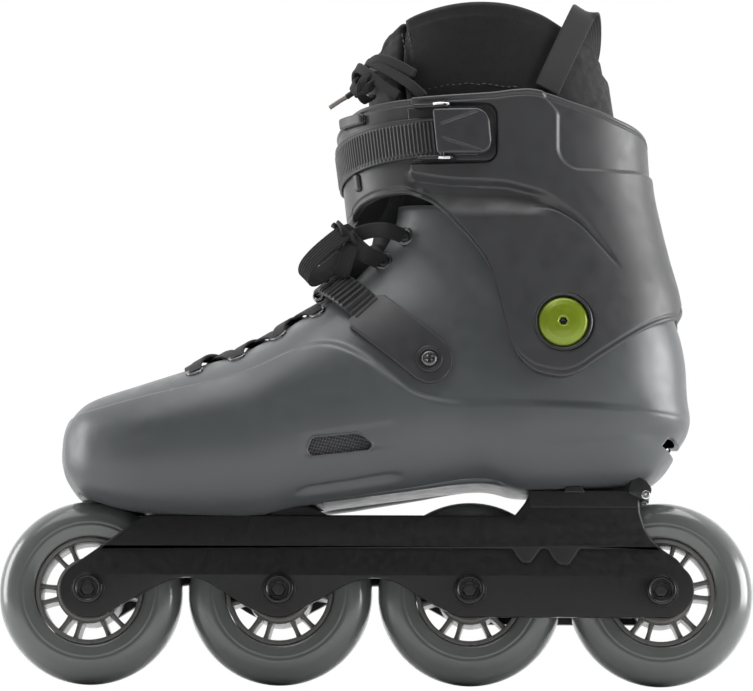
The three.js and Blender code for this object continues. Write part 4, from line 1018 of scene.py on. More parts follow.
def bearing(index, x, name, side):
    back, face = side * 5.0, side * 11.9
    ring = lambda r0, r1, y: [(r0, back), (r1, back), (r1, y), (r0, y)]
    parts = [turned(ring(8.9, 10.95, face), 96, 0.3, place=(x, 0, WHEEL_R)),
             turned(ring(4.35, 5.8, face), 96, 0.3, place=(x, 0, WHEEL_R)),
             turned(ring(5.7, 9.0, face - side * 0.6), 96, 0.3, place=(x, 0, WHEEL_R))]
    piece(f"wheel_{index}_race_{name}", parts, LOOK["steel"], f"wheel_{index}",
          [f"wheel_{index}_bearing_{name}"])


def axle_piece(index, x):
    """The axle's head: a rounded ring, a wide dish and a hex socket. Its far end is a plain chamfered tip."""
    def socket(row, turns):
        return hexagon(turns) / hexagon(0) if row[0] < 3.2 and row[1] > -19.3 else np.ones_like(turns)

    place = (x, 0, WHEEL_R)
    head = [(0.01, -17.6), (0.01, -17.7), (3.0, -17.9), (3.0, -19.2), (3.3, -19.25), (4.4, -19.2),
            (4.7, -19.9), (5.2, -20.3), (6.1, -20.2),
            (6.5, -19.6), (6.5, -17.8), (3.95, -17.8), (3.95, 17.2), (3.5, 17.6), (0.01, 17.6)]
    piece(f"axle_{index}_head", turned(head, 96, 0.12, place=place, shape=socket), LOOK["dark_steel"],
          "boot", [f"axle_{index}"])
    # A black hex block inside the head's socket: painted shade, so the socket reads dark.
    socket_shade = [(0.01, -17.4), (2.9, -17.4), (2.9, -18.6), (0.01, -18.6)]
    piece(f"axle_{index}_socket", turned(socket_shade, 48, 0.05, place=place, shape=lambda row,
                                         turns: hexagon(turns)), LOOK["black"], "boot")


for number in range(1, 5):
    middle = (number - 2.5) * PITCH
    tyre(number, middle)
    hub(number, middle)
    axle_piece(number, middle)
    for name, side in BOLT_SIDES:
        bearing(number, middle, name, side)
    dress("steel", f"wheel_{number}_spacer")

# ---- frame ----
STEP_Z, FRAME_TOP, RISER_TOP = 57.6, 72.3, 83.2


def rounded(points, radius, steps=4):
    """An outline with its corners eased."""
    out = []
    n = len(points)
    for i in range(n):
        a, b, c = (np.array(points[k % n], float) for k in (i - 1, i, i + 1))
        if unit(a - b) @ unit(c - b) < -0.985:
            out.append(b)
        else:
            out += eased(a, b, c, radius, np.linspace(0, 1, steps))
    return np.array(out)


def lower_edge():
    """The frame side's lower edge: a lobe round each axle, an arch between the first three, and straight
    behind them."""
    arch = [(-119.5, 27.8), (-114, 30.2), (-108.5, 33.6), (-102.9, 36.9), (-95, 41.2), (-88, 44.2),
            (-81, 45.4), (-74.5, 44.4), (-67.5, 40.9),
            (-62.5, 37.4), (-56, 33.2), (-50, 30.3), (-44.5, 28.5), (-40, 28.1), (-35.5, 29.4), (-29, 33),
            (-21.3, 37.2), (-15, 41),
            (-10.1, 43.3), (-1.5, 45.2), (5.4, 44.6), (11.4, 42.4), (19.2, 37.5), (27.2, 33), (33.9, 29.6),
            (38.5, 28.4), (44, 28.5)]
    return [tuple(p) for p in along(arch, 110)]


def arc(cx, cz, radius, start, end, steps):
    return [(cx + radius * math.cos(math.radians(a)),
             cz + radius * math.sin(math.radians(a))) for a in np.linspace(start, end, steps)]


def frame_sides():
    front = arc(-123.6, 40, 12.3, 128, 262, 24)
    rear = [(128.5, 28.5)] + arc(126.2, 40.6, 11.6, -68, 50, 20)
    top = [(130.5, 53.6), (124.6, 57.5), (120, 61.4), (116.6, 66.8), (114.6, 73.5), (113.9, RISER_TOP),
           (66.5, RISER_TOP), (66.2, 80.4), (64.6, 77.4),
           (60.5, FRAME_TOP), (-20.3, FRAME_TOP), (-24.5, 74.6), (-29.5, 76.2), (-35, 76.6), (-39.5, 76.0),
           (-45.8, FRAME_TOP), (-97.4, FRAME_TOP), (-101.3, 71.2),
           (-117.6, 59.2)]
    outline = rounded(front + lower_edge() + rear + top, 1.2)
    rail = [(-119.6, STEP_Z), (59.4, STEP_Z), (61.3, 54.4), (63.4, 51.6), (67.4, 51.3), (69.5, 54.2),
            (71.9, STEP_Z), (74.5, STEP_Z), (76.6, 54),
            (79.5, 50.7), (83.8, 50.4), (86.2, 53.8), (88.6, STEP_Z), (124.4, STEP_Z), (120, 61.4),
            (116.6, 66.8), (114.6, 73.5), (114.0, RISER_TOP),
            (66.5, RISER_TOP), (66.2, 80.4), (64.6, 77.4), (60.5, FRAME_TOP), (-97.4, FRAME_TOP),
            (-101.3, 71.2)]
    rail = rounded(rail, 1.0)
    heel = rounded([(67.0, 75.6), (113.8, 75.6), (113.7, RISER_TOP), (66.9, RISER_TOP)], 0.8)
    parts = []
    for side in (-1, 1):
        span = lambda a, b: (min(side * a, side * b), max(side * a, side * b))
        parts.append(plate(outline, *span(13.0, 17.5), 0.5))
        parts.append(plate(rail, *span(14.0, 18.8), 1.1))
        parts.append(plate(heel, *span(14.0, 19.3), 0.4))
        for index in range(4):
            boss = [(4.35, side * 12.35), (6.3, side * 12.35), (6.6, side * 13.3), (4.35, side * 13.3)]
            parts.append(turned(boss, 48, 0.2, place=((index - 1.5) * PITCH, 0, WHEEL_R)))
            washer = [(4.2, side * 17.3), (7.4, side * 17.3), (7.2, side * 17.95), (4.2, side * 17.95)]
            parts.append(turned(washer, 64, 0.25, place=((index - 1.5) * PITCH, 0, WHEEL_R)))
    for x0, x1, low, high in ((-91, -74, 66, FRAME_TOP), (-6, 6, 62, FRAME_TOP), (68, 98, 76, RISER_TOP),
                              (66.6, 113, 81.2, RISER_TOP - 0.1)):
        parts.append(plate(rounded([(x0, low), (x1, low), (x1, high), (x0, high)], 0.8), -13.6, 13.6, 0.4))
    made = piece("frame_rails", parts, LOOK["frame"], "boot", ["frame_chassis"])
    straighten(made, 35)
    tabs = []
    for x0, x1, low in ((81.6, 90.7, 82.0), (-76, -67, 72.0)):
        for side in (-1, 1):
            y0, y1 = sorted((side * 16.0, side * 21.5))
            tabs.append(plate(rounded([(x0, low), (x1, low), (x1 - 1.2, low + 2.6), (x0 + 1.2, low + 2.6)],
                                      0.6), y0, y1, 0.4))
    straighten(piece("frame_tabs", tabs, LOOK["black"], "boot"), 35)


frame_sides()
dress("steel", "front_mount_bolt", "rear_mount_bolt", "front_mount_nut", "rear_mount_nut",
      "cuff_nut_outer_side", "cuff_nut_inner_side")
dress("rubber", "heel_shock_pad")


# A ribbed bracket with a bright cross pin closes the frame's tail under the heel.
bracket = rounded([(109.5, 82.0), (110.6, 88.4), (113.6, 89.2), (117.2, 87.6), (119.6, 84.2), (119.4, 82.2),
                   (116.8, 80.8), (114.6, 79.6)], 1.0)
ribs = ((14.2, 15.6), (16.3, 17.7), (18.4, 19.8), (14.5, 19.5))
piece("heel_bracket", [plate(bracket, *sorted((side * a, side * b)), 0.35) for side in (-1, 1) for a,
                       b in ribs], LOOK["black"], "boot")
piece("heel_cross_pin", [turned([(0.01, side * 13.0), (1.95, side * 13.0), (1.95, side * 21.4),
                                 (0.01, side * 21.4)], 48, 0.4, place=(117.0, 0, 81.0)) for side in (-1, 1)],
      LOOK["steel"], "boot")


# ---- boot shell ----
def solid(parts):
    """A loose mesh object, for cutting with."""
    points, faces, _ = join(parts if isinstance(parts, list) else [parts])
    mesh = bpy.data.meshes.new("cutter")
    mesh.from_pydata((points * MM).tolist(), [], [tuple(r) for f in faces for r in f.tolist()])
    made = bpy.data.objects.new("cutter", mesh)
    bpy.context.scene.collection.objects.link(made)
    return made


def carve(made, cutters):
    tools = [solid(c) for c in cutters]
    for tool in tools:
        step = made.modifiers.new("cut", "BOOLEAN")
        step.operation, step.solver, step.object = "DIFFERENCE", "MANIFOLD", tool
    done = bpy.data.meshes.new_from_object(made.evaluated_get(bpy.context.evaluated_depsgraph_get()))
    made.modifiers.clear()
    made.data = done
    for tool in tools:
        bpy.data.objects.remove(tool)


def side_grid(x, z, side):
    """The skin's points beyond each (x, z), on one side of the foot."""
    return np.array([side_hit(a, b, side)[0] for a, b in zip(x.ravel(), z.ravel())]).reshape(*x.shape, 3)


VENT = [(-28.8, 96.6), (-26.6, 93.6), (-1.6, 96.6), (0.2, 99.6), (-5.6, 104.4), (-26.6, 102.3)]
SIDES = (("outer", -1), ("inner", 1))


def shell():
    made = piece("shell_body", boot_wall(SHELL, throat, lambda x: np.interp(x, RIM_X, RIM_Z), 420, 320, 3.0,
                                         0.9, shell_relief),
                 LOOK["shell"], "boot", ["boot_shell"])
    well = [(0.01, -14), (42.4, -14), (42.4, 14), (0.01, 14)]
    hole = [(0.01, -70), (5.4, -70), (5.4, 70), (0.01, 70)]
    cutters = [turned(well, 128, place=(x, 0, WHEEL_R)) for x in (-123.6, -41.2)]
    cutters += [turned(hole, 48, place=(PIVOT_X, 0, PIVOT_Z)),
                plate(rounded(VENT, 2.2, 8), -70, 70, 0.01),
                plate(rounded([(123.7, 102.3), (126.6, 106.2), (128.2, 106.2), (133.5, 103.4), (146, 97.6),
                               (146, 90.2), (130, 98.6)], 0.9), -30, 30, 0.01)]
    carve(made, cutters)
    for name, side in SIDES:
        outline = rounded(VENT, 2.2, 8)
        line = side_grid(outline[:, 0], outline[:, 1], side)
        line[:, 1] -= side * 0.35
        piece(f"vent_rim_{name}", tube(line, 0.62, 8, 140, closed=True), LOOK["shell"], "boot")

        def net(u, v, h, side=side):
            x = -29.4 + u
            z = 93.6 + u * 0.124 + v
            at = side_grid(x, z, side)
            at[..., 1] -= side * (2.2 - h)
            return at

        piece(f"vent_net_{name}", slab(net, np.linspace(0, 30.4, 30), 0, 9.2, -0.5, 0.5, 0.2, rows=6),
              LOOK["mesh"], "boot",
              [f"vent_mesh_{name}_side"])


shell()


def ring(place, normal, inner, outer, height):
    """A flat rounded ring on a surface."""
    profile = [(inner, -0.8), (outer, -0.8), (outer, height * 0.7), ((inner + outer) / 2 + 0.2, height),
               (inner, height * 0.6)]
    return turned(profile, 64, 0.25, place=place, axis=normal)


EYELETS = [(-78, 133.3), (-60, 140), (-42, 149.6), (-25, 159.8), (3.5, 182.2), (12.6, 193.2)]
rings, hole_shades = [], []
for x, z in EYELETS:
    for side in (-1, 1):
        place, normal = side_hit(x, z, side)
        normal = unit(normal + np.array([0, 2.2 * side if x > 0 else 0.0, 0]))
        place = place + normal * (1.1 if x > 0 else 0.0)
        rings.append(ring(place, normal, 2.5, 4.0, 0.95))
        # A black disc in each eyelet: painted shade for the hole, which the shell is not cut for.
        hole_shades.append(turned([(0.01, -1.5), (2.6, -1.5), (2.6, 0.15), (0.01, 0.15)], 24, place=place,
                            axis=normal))
rings.append(ring(np.array([-24.6, -21.5, 168.0]), unit(np.array([-0.5, -0.82, 0.3])), 1.7, 3.1, 0.95))
piece("eyelet_rings", rings, LOOK["eyelet"], "boot")
piece("eyelet_hole_shades", hole_shades, LOOK["black"], "boot")

# The pin that joins the liner's heel to the shell, in the heel slot.
piece("heel_pin", [tube(np.array([(126.9, -15, 101.2), (126.9, 0, 101.2), (126.9, 15, 101.2)], float), 1.1,
                        16, 10)], LOOK["steel"], "boot")


# ---- cuff ----
def edge_height(curve, turns, guess_low, guess_high):
    """For each turn round the cuff, the height where its surface meets a side-view curve."""
    low, high = np.full(turns.shape, guess_low, float), np.full(turns.shape, guess_high, float)
    for _ in range(40):
        middle = (low + high) / 2
        x = cuff_point(middle, turns, np.zeros_like(turns))[..., 0]
        above = middle > np.interp(x, curve[:, 0], curve[:, 1])
        high, low = np.where(above, middle, high), np.where(above, low, middle)
    return (low + high) / 2


def cuff():
    fine = np.linspace(0, 2 * PI, 4001)[:-1]
    x = cuff_point(np.full(fine.shape, 234.0), fine, np.zeros_like(fine))
    step = np.linalg.norm(np.roll(x, -1, 0) - x, axis=1)
    outer = x[:, 1] < 0
    dense = outer & (((x[:, 0] > 13.5) & (x[:, 0] < 19)) | ((x[:, 0] > 45) & (x[:, 0] < 55)))
    weight = np.cumsum(step * np.where(dense, 3.0, 1.0))
    us = np.interp(np.linspace(0, weight[-1], 640, endpoint=False), weight, fine)
    low = edge_height(CUFF_LOW_SMOOTH, us, 112, 236)
    high = edge_height(CUFF_TOP_SMOOTH, us, 225, 268)

    def spread(f, a, b):
        return np.where(f < 0.5, a + (215 - a) * f * 2, 215 + (b - 215) * (f * 2 - 1))

    def relief(u, v):
        p = cuff_point(v, u, np.zeros_like(v))
        near = np.minimum(v - low[:, None], high[:, None] - v)
        groove = 0.45 * np.exp(-((near - 2.6) / 0.6) ** 2)
        return cuff_relief(p) - groove

    surface = lambda u, v, h: cuff_point(v, u, h)
    made = piece("cuff_body", slab(surface, us, low, high, -CUFF_WALL, 0.0, 1.1, rows=240, closed=True,
                                   relief=relief, spread=spread),
                 LOOK["cuff"], "cuff", ["cuff"])
    carve(made, [turned([(0.01, -70), (5.4, -70), (5.4, 70), (0.01, 70)], 48, place=(PIVOT_X, 0, PIVOT_Z))])


cuff()


def cuff_block(x0, z0, x1, z1, height):
    """A small raised block on the cuff's outer side."""
    t0, t1 = cuff_turn(x0, (z0 + z1) / 2), cuff_turn(x1, (z0 + z1) / 2)
    length = abs(x1 - x0) * 1.15
    surface = lambda u, v, h: cuff_point(v, t0 + (t1 - t0) * u / length, h)
    return slab(surface, np.linspace(0, length, 14), z0, z1, -0.6, height, 0.9, rows=8)


piece("cuff_lugs", [cuff_block(-14.5, 240.5, -4.5, 245.5, 2.4), cuff_block(-8.9, 212.5, -6.6, 220.0, 1.5)],
      LOOK["cuff"], "cuff")

# The two bolts that the cuff turns on.
for name, side in BOLT_SIDES:
    head = [(0.01, 49.2), (1.75, 49.2), (1.8, 50.9), (2.3, 51.45), (4.5, 51.3), (7.2, 50.9), (9.4, 50.2),
            (10.3, 49.6), (10.75, 48.9),
            (10.75, 47.9), (9.6, 47.5), (5.0, 47.5), (5.0, 38.7), (0.01, 38.7)]
    piece(f"pivot_bolt_{name}", turned([(r, side * y) for r, y in head], 128, 0.3,
                                       place=(PIVOT_X, 0, PIVOT_Z), shape=lambda row, turns:
          hexagon(turns) if 0.5 < row[0] < 2.0 and abs(row[1]) > 49 else np.ones_like(turns)),
          LOOK["green"], "boot", [f"cuff_bolt_{name}"])
    # A black disc at the foot of the bolt's hex socket: painted shade.
    piece(f"pivot_socket_shade_{name}", turned([(0.01, side * 49.15), (2.0, side * 49.15), (2.0, side * 49.5),
                                        (0.01, side * 49.5)], 48, place=(PIVOT_X, 0, PIVOT_Z)),
          LOOK["black"], "boot")
    # A black ring in the bolt's seat, round its head: its black is painted shade for the gap between head and
    # seat.
    piece(f"pivot_gap_ring_{name}", turned([(11.0, side * 46.6), (12.7, side * 46.6), (12.6, side * 49.9),
                                         (12.1, side * 50.5), (11.4, side * 50.3), (11.0, side * 49.4)],
          128, 0.2, place=(PIVOT_X, 0, PIVOT_Z)), LOOK["black"], "cuff")

# ---- cuff ladder strap and buckle ----
BAND_HALF = 8.6
band_turns = np.linspace(cuff_turn(44, 231, -1), -2 * PI + cuff_turn(14, 231, 1), 900)
band_middle = 232.5 - 6.5 * np.maximum(0, -np.cos(band_turns)) ** 3
band_line = cuff_point(band_middle, band_turns, np.full(900, 3.0))
band_length = np.concatenate([[0], np.cumsum(np.linalg.norm(np.diff(band_line, axis=0), axis=1))])


def band_surface(u, v, h):
    turns = np.interp(u, band_length, band_turns)
    middle = np.interp(u, band_length, band_middle)
    return cuff_point(middle + v, turns, h - 1.9 * smooth(0.35, 0.95, -np.cos(turns)))


def teeth(u, v, pitch, half, height):
    """Ratchet ridges across a strap, steep on one side."""
    phase = (u / pitch) % 1
    ridge = smooth(0, 0.16, phase) * (1 - 0.85 * smooth(0.35, 0.95, phase))
    return height * (ridge - 0.4) * smooth(half + 0.6, half - 0.4, np.abs(v))


def ladder_relief(u, v):
    beat = (u / 2.0) % 1
    border = np.exp(-((v + 7.3) / 0.3) ** 2) * (smooth(0.2, 0.35, beat) - smooth(0.7, 0.85, beat))
    border = border + 0.8 * np.exp(-((v - 6.9) / 0.35) ** 2)
    return teeth(u, v, 1.75, 6.3, 0.5) - 0.4 * border


piece("ladder_band", slab(band_surface, np.arange(0, band_length[-1], 0.22), -BAND_HALF, BAND_HALF, 2.2,
                          3.4, 0.5, rows=46, relief=ladder_relief),
      LOOK["strap"], "cuff", ["cuff_ladder_strap"])


def cuff_patch(x0, x1, low, high, under, over, radius, rows=10, relief=None, step=0.5):
    """A plate on the cuff's outer side between two side-view x places. low and high may vary with x."""
    x = np.linspace(x0, x1, 60)
    turns = np.array([cuff_turn(v, 234, -1) for v in x])
    line = cuff_point(np.full(60, 234.0), turns, np.full(60, over))
    length = np.concatenate([[0], np.cumsum(np.linalg.norm(np.diff(line, axis=0), axis=1))])

    def surface(u, v, h):
        return cuff_point(v, np.interp(u, length, turns), h)

    us = np.arange(0, length[-1] + step, step)
    us[-1] = length[-1]
    to_x = lambda u: np.interp(u, length, x)
    low_at = (lambda u: low(to_x(u))) if callable(low) else low
    high_at = (lambda u: high(to_x(u))) if callable(high) else high
    bumps = (lambda u, v: relief(to_x(u), v)) if relief else None
    return slab(surface, us, low_at, high_at, under, over, radius, rows=rows, relief=bumps)


def round_end(edge, x_end, radius, sign):
    """An edge height that curves in towards the middle near x_end."""
    def at(x):
        t = np.clip((x - (x_end - radius)) / radius, 0, 0.995)
        return edge + sign * radius * (1 - np.sqrt(1 - t * t))
    return at


buckle_parts = [
    cuff_patch(15.6, 51.6, round_end(222, 51.6, 5, 1), round_end(245.6, 51.6, 5, -1), 0.3, 1.3, 0.45),
    cuff_patch(20.5, 34, 221.6, 223.3, 0.8, 7.6, 0.6), cuff_patch(20.5, 34, 244.1, 245.8, 0.8, 7.6, 0.6),
]
piece("buckle_frame", buckle_parts, LOOK["black"], "cuff", ["cuff_buckle_base"])


def lever_relief(x, z):
    """Two grooves that spread towards the lever's tip, on a soft swell."""
    along_lever = (x - 29.5) / 16
    out = np.zeros_like(x)
    for sign in (-1, 1):
        line = 233.6 + sign * (2.4 + 6.2 * along_lever)
        out = out - 0.38 * np.exp(-((z - line) / 0.38) ** 2) * smooth(30.5, 32, x) * smooth(46.4, 45, x)
    swell = 0.5 * smooth(24.5, 31, x) * smooth(50, 43, x)
    return out + swell


lever = cuff_patch(28.2, 49.9, round_end(223.9, 49.6, 5, 1), round_end(243.5, 49.6, 5, -1), 5.0, 7.8, 1.0,
                   rows=60, relief=lever_relief, step=0.3)
pin_y = -55.18
piece("buckle_lever", [lever, turned([(0.95, 223.7), (1.25, 223.7), (1.25, 243.7), (0.95, 243.7)], 32, 0.1,
                                     place=(29, pin_y, 0), axis=(0, 0, 1))],
      LOOK["lever"], "cuff_lever", ["cuff_buckle_lever"])
piece("buckle_pin", turned([(0.01, 221.0), (0.9, 221.0), (0.9, 246.4), (0.01, 246.4)], 32, 0.3,
                           place=(29, pin_y, 0), axis=(0, 0, 1)), LOOK["dark_steel"], "cuff",
      ["cuff_buckle_pin"])
piece("buckle_spring", [tube(np.array([(27.5, pin_y - 0.9, 221.9), (29.5, pin_y - 1.2, 221.8),
                                       (32.5, pin_y - 0.9, 221.9)]), 0.55, 10, 12),
                     tube(np.array([(25.0, pin_y - 0.9, 245.4), (28, pin_y - 1.3, 245.7),
                                    (32.0, pin_y - 0.9, 245.5)]), 0.6, 10, 12)],
      LOOK["steel"], "cuff")


def screw_head(name, place, normal, radius, body, stands_for, look):
    profile = [(0.01, -0.4), (radius * 0.98, -0.4), (radius, 0.5), (radius * 0.93, 1.2),
               (radius * 0.8, 1.6), (radius * 0.62, 1.8), (radius * 0.6, 0.5), (0.01, 0.5)]

    def recess(row, turns):
        crossed = 0.3 * radius < row[0] < 0.64 * radius and row[1] > 0.4
        return cross_recess(turns) if crossed else np.ones_like(turns)

    return piece(name, turned(profile, 96, 0.15, place=place, axis=normal, shape=recess), look, body,
                 stands_for)


# ---- instep strap ----
STRAP_SCREW_X, STRAP_SCREW_Z = 23.3, 136.2
STRAP_LEAN = np.array([-0.765, 0, 0.644])
STRAP_ACROSS = np.array([0.644, 0, 0.765])


def wrapped(centre, level, up, across, angles, reach):
    """A surface(u, v, height) on the boot's skin: u runs round it from angles[0] to angles[1], v along
    `across`. Also the lengths u and the places of its middle line."""
    count, half = 360, int(math.ceil(reach)) + 1
    turns = np.radians(np.linspace(*angles, count))
    offsets = np.arange(-half, half + 1.0)
    place, normal = np.zeros((count, len(offsets), 3)), np.zeros((count, len(offsets), 3))
    for j, v in enumerate(offsets):
        start = centre + across * v
        for i, t in enumerate(turns):
            place[i, j], normal[i, j] = skin_hit(start, math.cos(t) * level + math.sin(t) * up)
    for _ in range(12):
        normal[1:-1] = (normal[:-2] + normal[1:-1] * 2 + normal[2:]) / 4
        normal[:, 1:-1] = (normal[:, :-2] + normal[:, 1:-1] * 2 + normal[:, 2:]) / 4
    normal = unit(normal)
    length = np.concatenate([[0], np.cumsum(np.linalg.norm(np.diff(place[:, half], axis=0), axis=1))])

    def surface(u, v, h):
        a = np.clip(np.interp(u, length, np.arange(count)), 0, count - 1.001)
        b = np.clip(v + half, 0, 2 * half - 0.001)
        i, j = a.astype(int), b.astype(int)
        s, t = (a - i)[..., None], (b - j)[..., None]
        row = lambda g, k: g[k, j] * (1 - t) + g[k, j + 1] * t
        mix = lambda g: row(g, i) * (1 - s) + row(g, i + 1) * s
        return mix(place) + unit(mix(normal)) * h[..., None]

    return surface, length, place[:, half]


OUTWARD = np.array([0.0, -1.0, 0.0])
strap_centre = np.array([STRAP_SCREW_X, 0, STRAP_SCREW_Z]) + STRAP_LEAN * 15
strap_skin, strap_u, strap_line = wrapped(strap_centre, OUTWARD, STRAP_LEAN, STRAP_ACROSS, (-46, 226), 13)


def strap_u_at(x, side):
    """How far round the strap's line it passes a side-view x."""
    rows = [(abs(p[0] - x), u) for p, u in zip(strap_line, strap_u) if p[1] * side > 4]
    return float(min(rows)[1])


def arm_width(u_screw, u_end, half, sign):
    """The strap arm's edge: round behind the screw, and drawn in to the ladder's width in front."""
    def at(u):
        far = np.clip((u_screw - u) / half, 0, 0.99)
        return sign * np.minimum(half * np.sqrt(1 - far**2), 7.6 + np.maximum(u_end - u, 0) * 0.9)
    return at


u_screw = strap_u_at(STRAP_SCREW_X, -1)
u_arm_end = strap_u_at(-4.3, -1)
piece("instep_arm", slab(lambda u, v, h: strap_skin(u, v - 0.35 * smooth(u_screw, u_arm_end, u) * 2.0, h),
                         np.arange(u_screw - 10.35, u_arm_end, 0.5),
                         arm_width(u_screw, u_arm_end, 10.4, -1), arm_width(u_screw, u_arm_end, 10.4, 1),
                         0.25, 2.6, 0.9, rows=40),
      LOOK["arm"], "boot", ["instep_ladder_strap"])

u_far_screw = strap_u_at(STRAP_SCREW_X, 1)


def lifted(low):
    """The ladder rises over the lace, and again into the buckle on the inner side."""
    share = lambda u: (u - u_screw) / (u_far_screw - u_screw) * 2 - 1
    over_lace = lambda u: 1.8 * smooth(u_arm_end - 2, u_arm_end + 6, u) + 1.6 * smooth(-0.55, -0.3, share(u))
    return lambda u: low - 0.2 + over_lace(u) + 1.0 * smooth(0.1, 0.36, share(u))


ladder_stop = u_screw + (u_far_screw - u_screw) * 0.79
# The ladder's darker plastic is painted shade on its lit teeth.
piece("instep_ladder", slab(strap_skin, np.arange(u_arm_end - 3.5, ladder_stop, 0.25), -7.0, 7.0,
                            lifted(0.6), lifted(2.6), 0.6, rows=34,
                            relief=lambda u, v: teeth(u, v, 2.55, 6.2, 1.1)), LOOK["ladder"], "boot")
for name, side, u_at in (("outer", -1, u_screw), ("inner", 1, u_far_screw)):
    place = strap_skin(np.array(u_at), np.array(0.0), np.array(2.5))
    normal = unit(strap_skin(np.array(u_at), np.array(0.0), np.array(4.0)) - place)
    screw_head(f"instep_screw_{name}", place - normal * 0.2, normal, 3.5, "boot",
               [f"instep_screw_{name}_side"], LOOK["screw"])
    piece(f"instep_washer_{name}", ring(place, normal, 4.0, 5.8, 0.8), LOOK["black"], "boot")

# The far side: a plain strap, and a small ratchet buckle that clamps the ladder.
far_from, far_to = u_screw + (u_far_screw - u_screw) * 0.70, u_far_screw + 10.0
far_low = lambda sign: lambda u: sign * (9.0 * np.sqrt(1 - np.clip((u - u_far_screw) / 10.05, 0, 0.99) ** 2))
piece("instep_far_arm", slab(strap_skin, np.arange(far_from, far_to, 0.5), far_low(-1), far_low(1), 0.25,
                             2.4, 0.7, rows=30), LOOK["arm"], "boot",
      ["instep_far_strap"])
along_u = lambda share: u_screw + (u_far_screw - u_screw) * (share + 1) / 2
catch = lambda u0, u1, v0, v1, h0, h1, r: slab(strap_skin, np.arange(u0, u1, 0.4), v0, v1, h0, h1, r, rows=16)
piece("instep_buckle_plate", [catch(along_u(0.40), along_u(0.70), -11, 11, 2.8, 4.1, 0.5),
                              catch(along_u(0.42), along_u(0.54), -11, -9, 3.5, 11.4, 0.7),
                              catch(along_u(0.42), along_u(0.54), 9, 11, 3.5, 11.4, 0.7)],
      LOOK["black"], "boot", ["instep_buckle_base"])
grip = lambda u: smooth(along_u(0.56), along_u(0.58), u) * smooth(along_u(0.7), along_u(0.68), u)
grip_ridges = lambda u, v: 0.35 * np.cos(2 * PI * (u - along_u(0.5)) / 2.4) * grip(u)
piece("instep_lever", slab(strap_skin, np.arange(along_u(0.49), along_u(0.72), 0.3), -7.2, 7.2,
                           lambda u: 7.6 - 2.2 * smooth(along_u(0.6), along_u(0.72), u),
                           lambda u: 10.9 - 1.6 * smooth(along_u(0.6), along_u(0.72), u), 1.1, rows=24,
                           relief=grip_ridges),
      LOOK["lever"], "instep_lever", ["instep_buckle_lever"])
dress("steel", "instep_buckle_pin")
dress("dark_steel", "cuff_ladder_screw")

# ---- liner ----
LINER_WALL = 6.0
LINER_ANGLES = polar(0.52 + 0.05 * np.minimum(6, np.arange(16)))
FLEX_LOW, FLEX_HIGH = (0.08, 0, 0.172), (0.08, 0, 0.214)
COLLAR_TOP = along([(-30, 279.5), (-3, 280), (1.3, 284.5), (10.9, 290.3), (18.7, 293.2), (31.8, 296.0),
                    (44.9, 297.0), (57.9, 296.0), (71, 292.4), (80.6, 287.6),
                    (91.9, 281.6), (98, 275.2), (101, 269.5), (130, 262)], 300)
SEAM = np.array([(16.6, 225), (16.6, 260), (13.0, 280), (9.8, 294.3), (8, 300)])


def liner_gap(s):
    wide = np.interp(s, np.arange(16) + 4.0, LINER_ANGLES)
    t = np.clip((s - 3.95) / 0.5, 0, 1)
    return wide * np.sqrt(np.maximum(1 - (1 - t) ** 2, 0))


def liner_relief(p, to_rim):
    """A sewn band below the rim, the seams in front, and soft puffs between them."""
    x, y, z = p[..., 0], p[..., 1], p[..., 2]
    high = smooth(225, 240, z)
    band = -0.55 * np.exp(-((to_rim - 5.2) / 0.55) ** 2)
    seam_x = np.interp(z, SEAM[:, 1], SEAM[:, 0])
    seam = -0.5 * np.exp(-((x - seam_x) / 0.6) ** 2) * smooth(0.3, 0.6, np.abs(y) / 40)
    puff = 0.5 * smooth(7, 18, to_rim) * np.sin(x / 17.0 + 0.6) * np.sin(z / 13.0)
    puff = puff * smooth(0.45, 0.8, np.abs(y) / 40)
    return (band + seam + puff) * high


def liner():
    wall = boot_wall(LINER, liner_gap, lambda x: np.interp(x, COLLAR_TOP[:, 0], COLLAR_TOP[:, 1]) - 1.5,
                     330, 260, LINER_WALL, 2.8, liner_relief)
    made = piece("liner_sock", wall, LOOK["knit"], None, ["liner_lower", "liner_collar"],
                 blend=("boot", "cuff", FLEX_LOW, FLEX_HIGH))
    return made


liner()


def skin_row(sections, x, z, side, offset):
    """A point on the sections' skin at a side-view place, pushed out by `offset`."""
    s = np.linspace(len(sections) * 0.45, len(sections) - 1.01, 260)[:, None]
    t = np.linspace(0.15, PI - 0.15, 200)[None, :]
    p = boot_point(sections, s, t)
    far = np.hypot(p[..., 0] - x, p[..., 2] - z)
    i, j = np.unravel_index(np.argmin(far), far.shape)
    n = boot_normal(sections, s[i:i + 1, 0], t[0, j:j + 1])[0]
    point = p[i, j]
    if n[1] < 0:
        n = -n
    point, n = point * [1, side, 1], n * [1, side, 1]
    return point + n * offset, n


def stitches(line, side):
    """Stitches on the liner, along a side-view line."""
    rows = [skin_row(LINER, x, z, side, 0.1) for x, z in line]
    return capsules([r[0] for r in rows], [r[1] for r in rows], 1.6, 0.22, 1.1)


seam_rows = []
for side in (-1, 1):
    for shift in (-1.6, 1.6):
        beside = lambda z: (np.interp(z, SEAM[:, 1], SEAM[:, 0]) + shift, z)
        seam_rows.append(stitches([beside(z) for z in np.linspace(249, 283, 14)], side))
    over = lambda x: (x, 256.2 + 1.6 * math.sin((x - 20) / 40 * PI))
    seam_rows.append(stitches([over(x) for x in np.linspace(20, 62, 18)], side))
piece("liner_stitches", seam_rows, LOOK["thread"], "cuff")


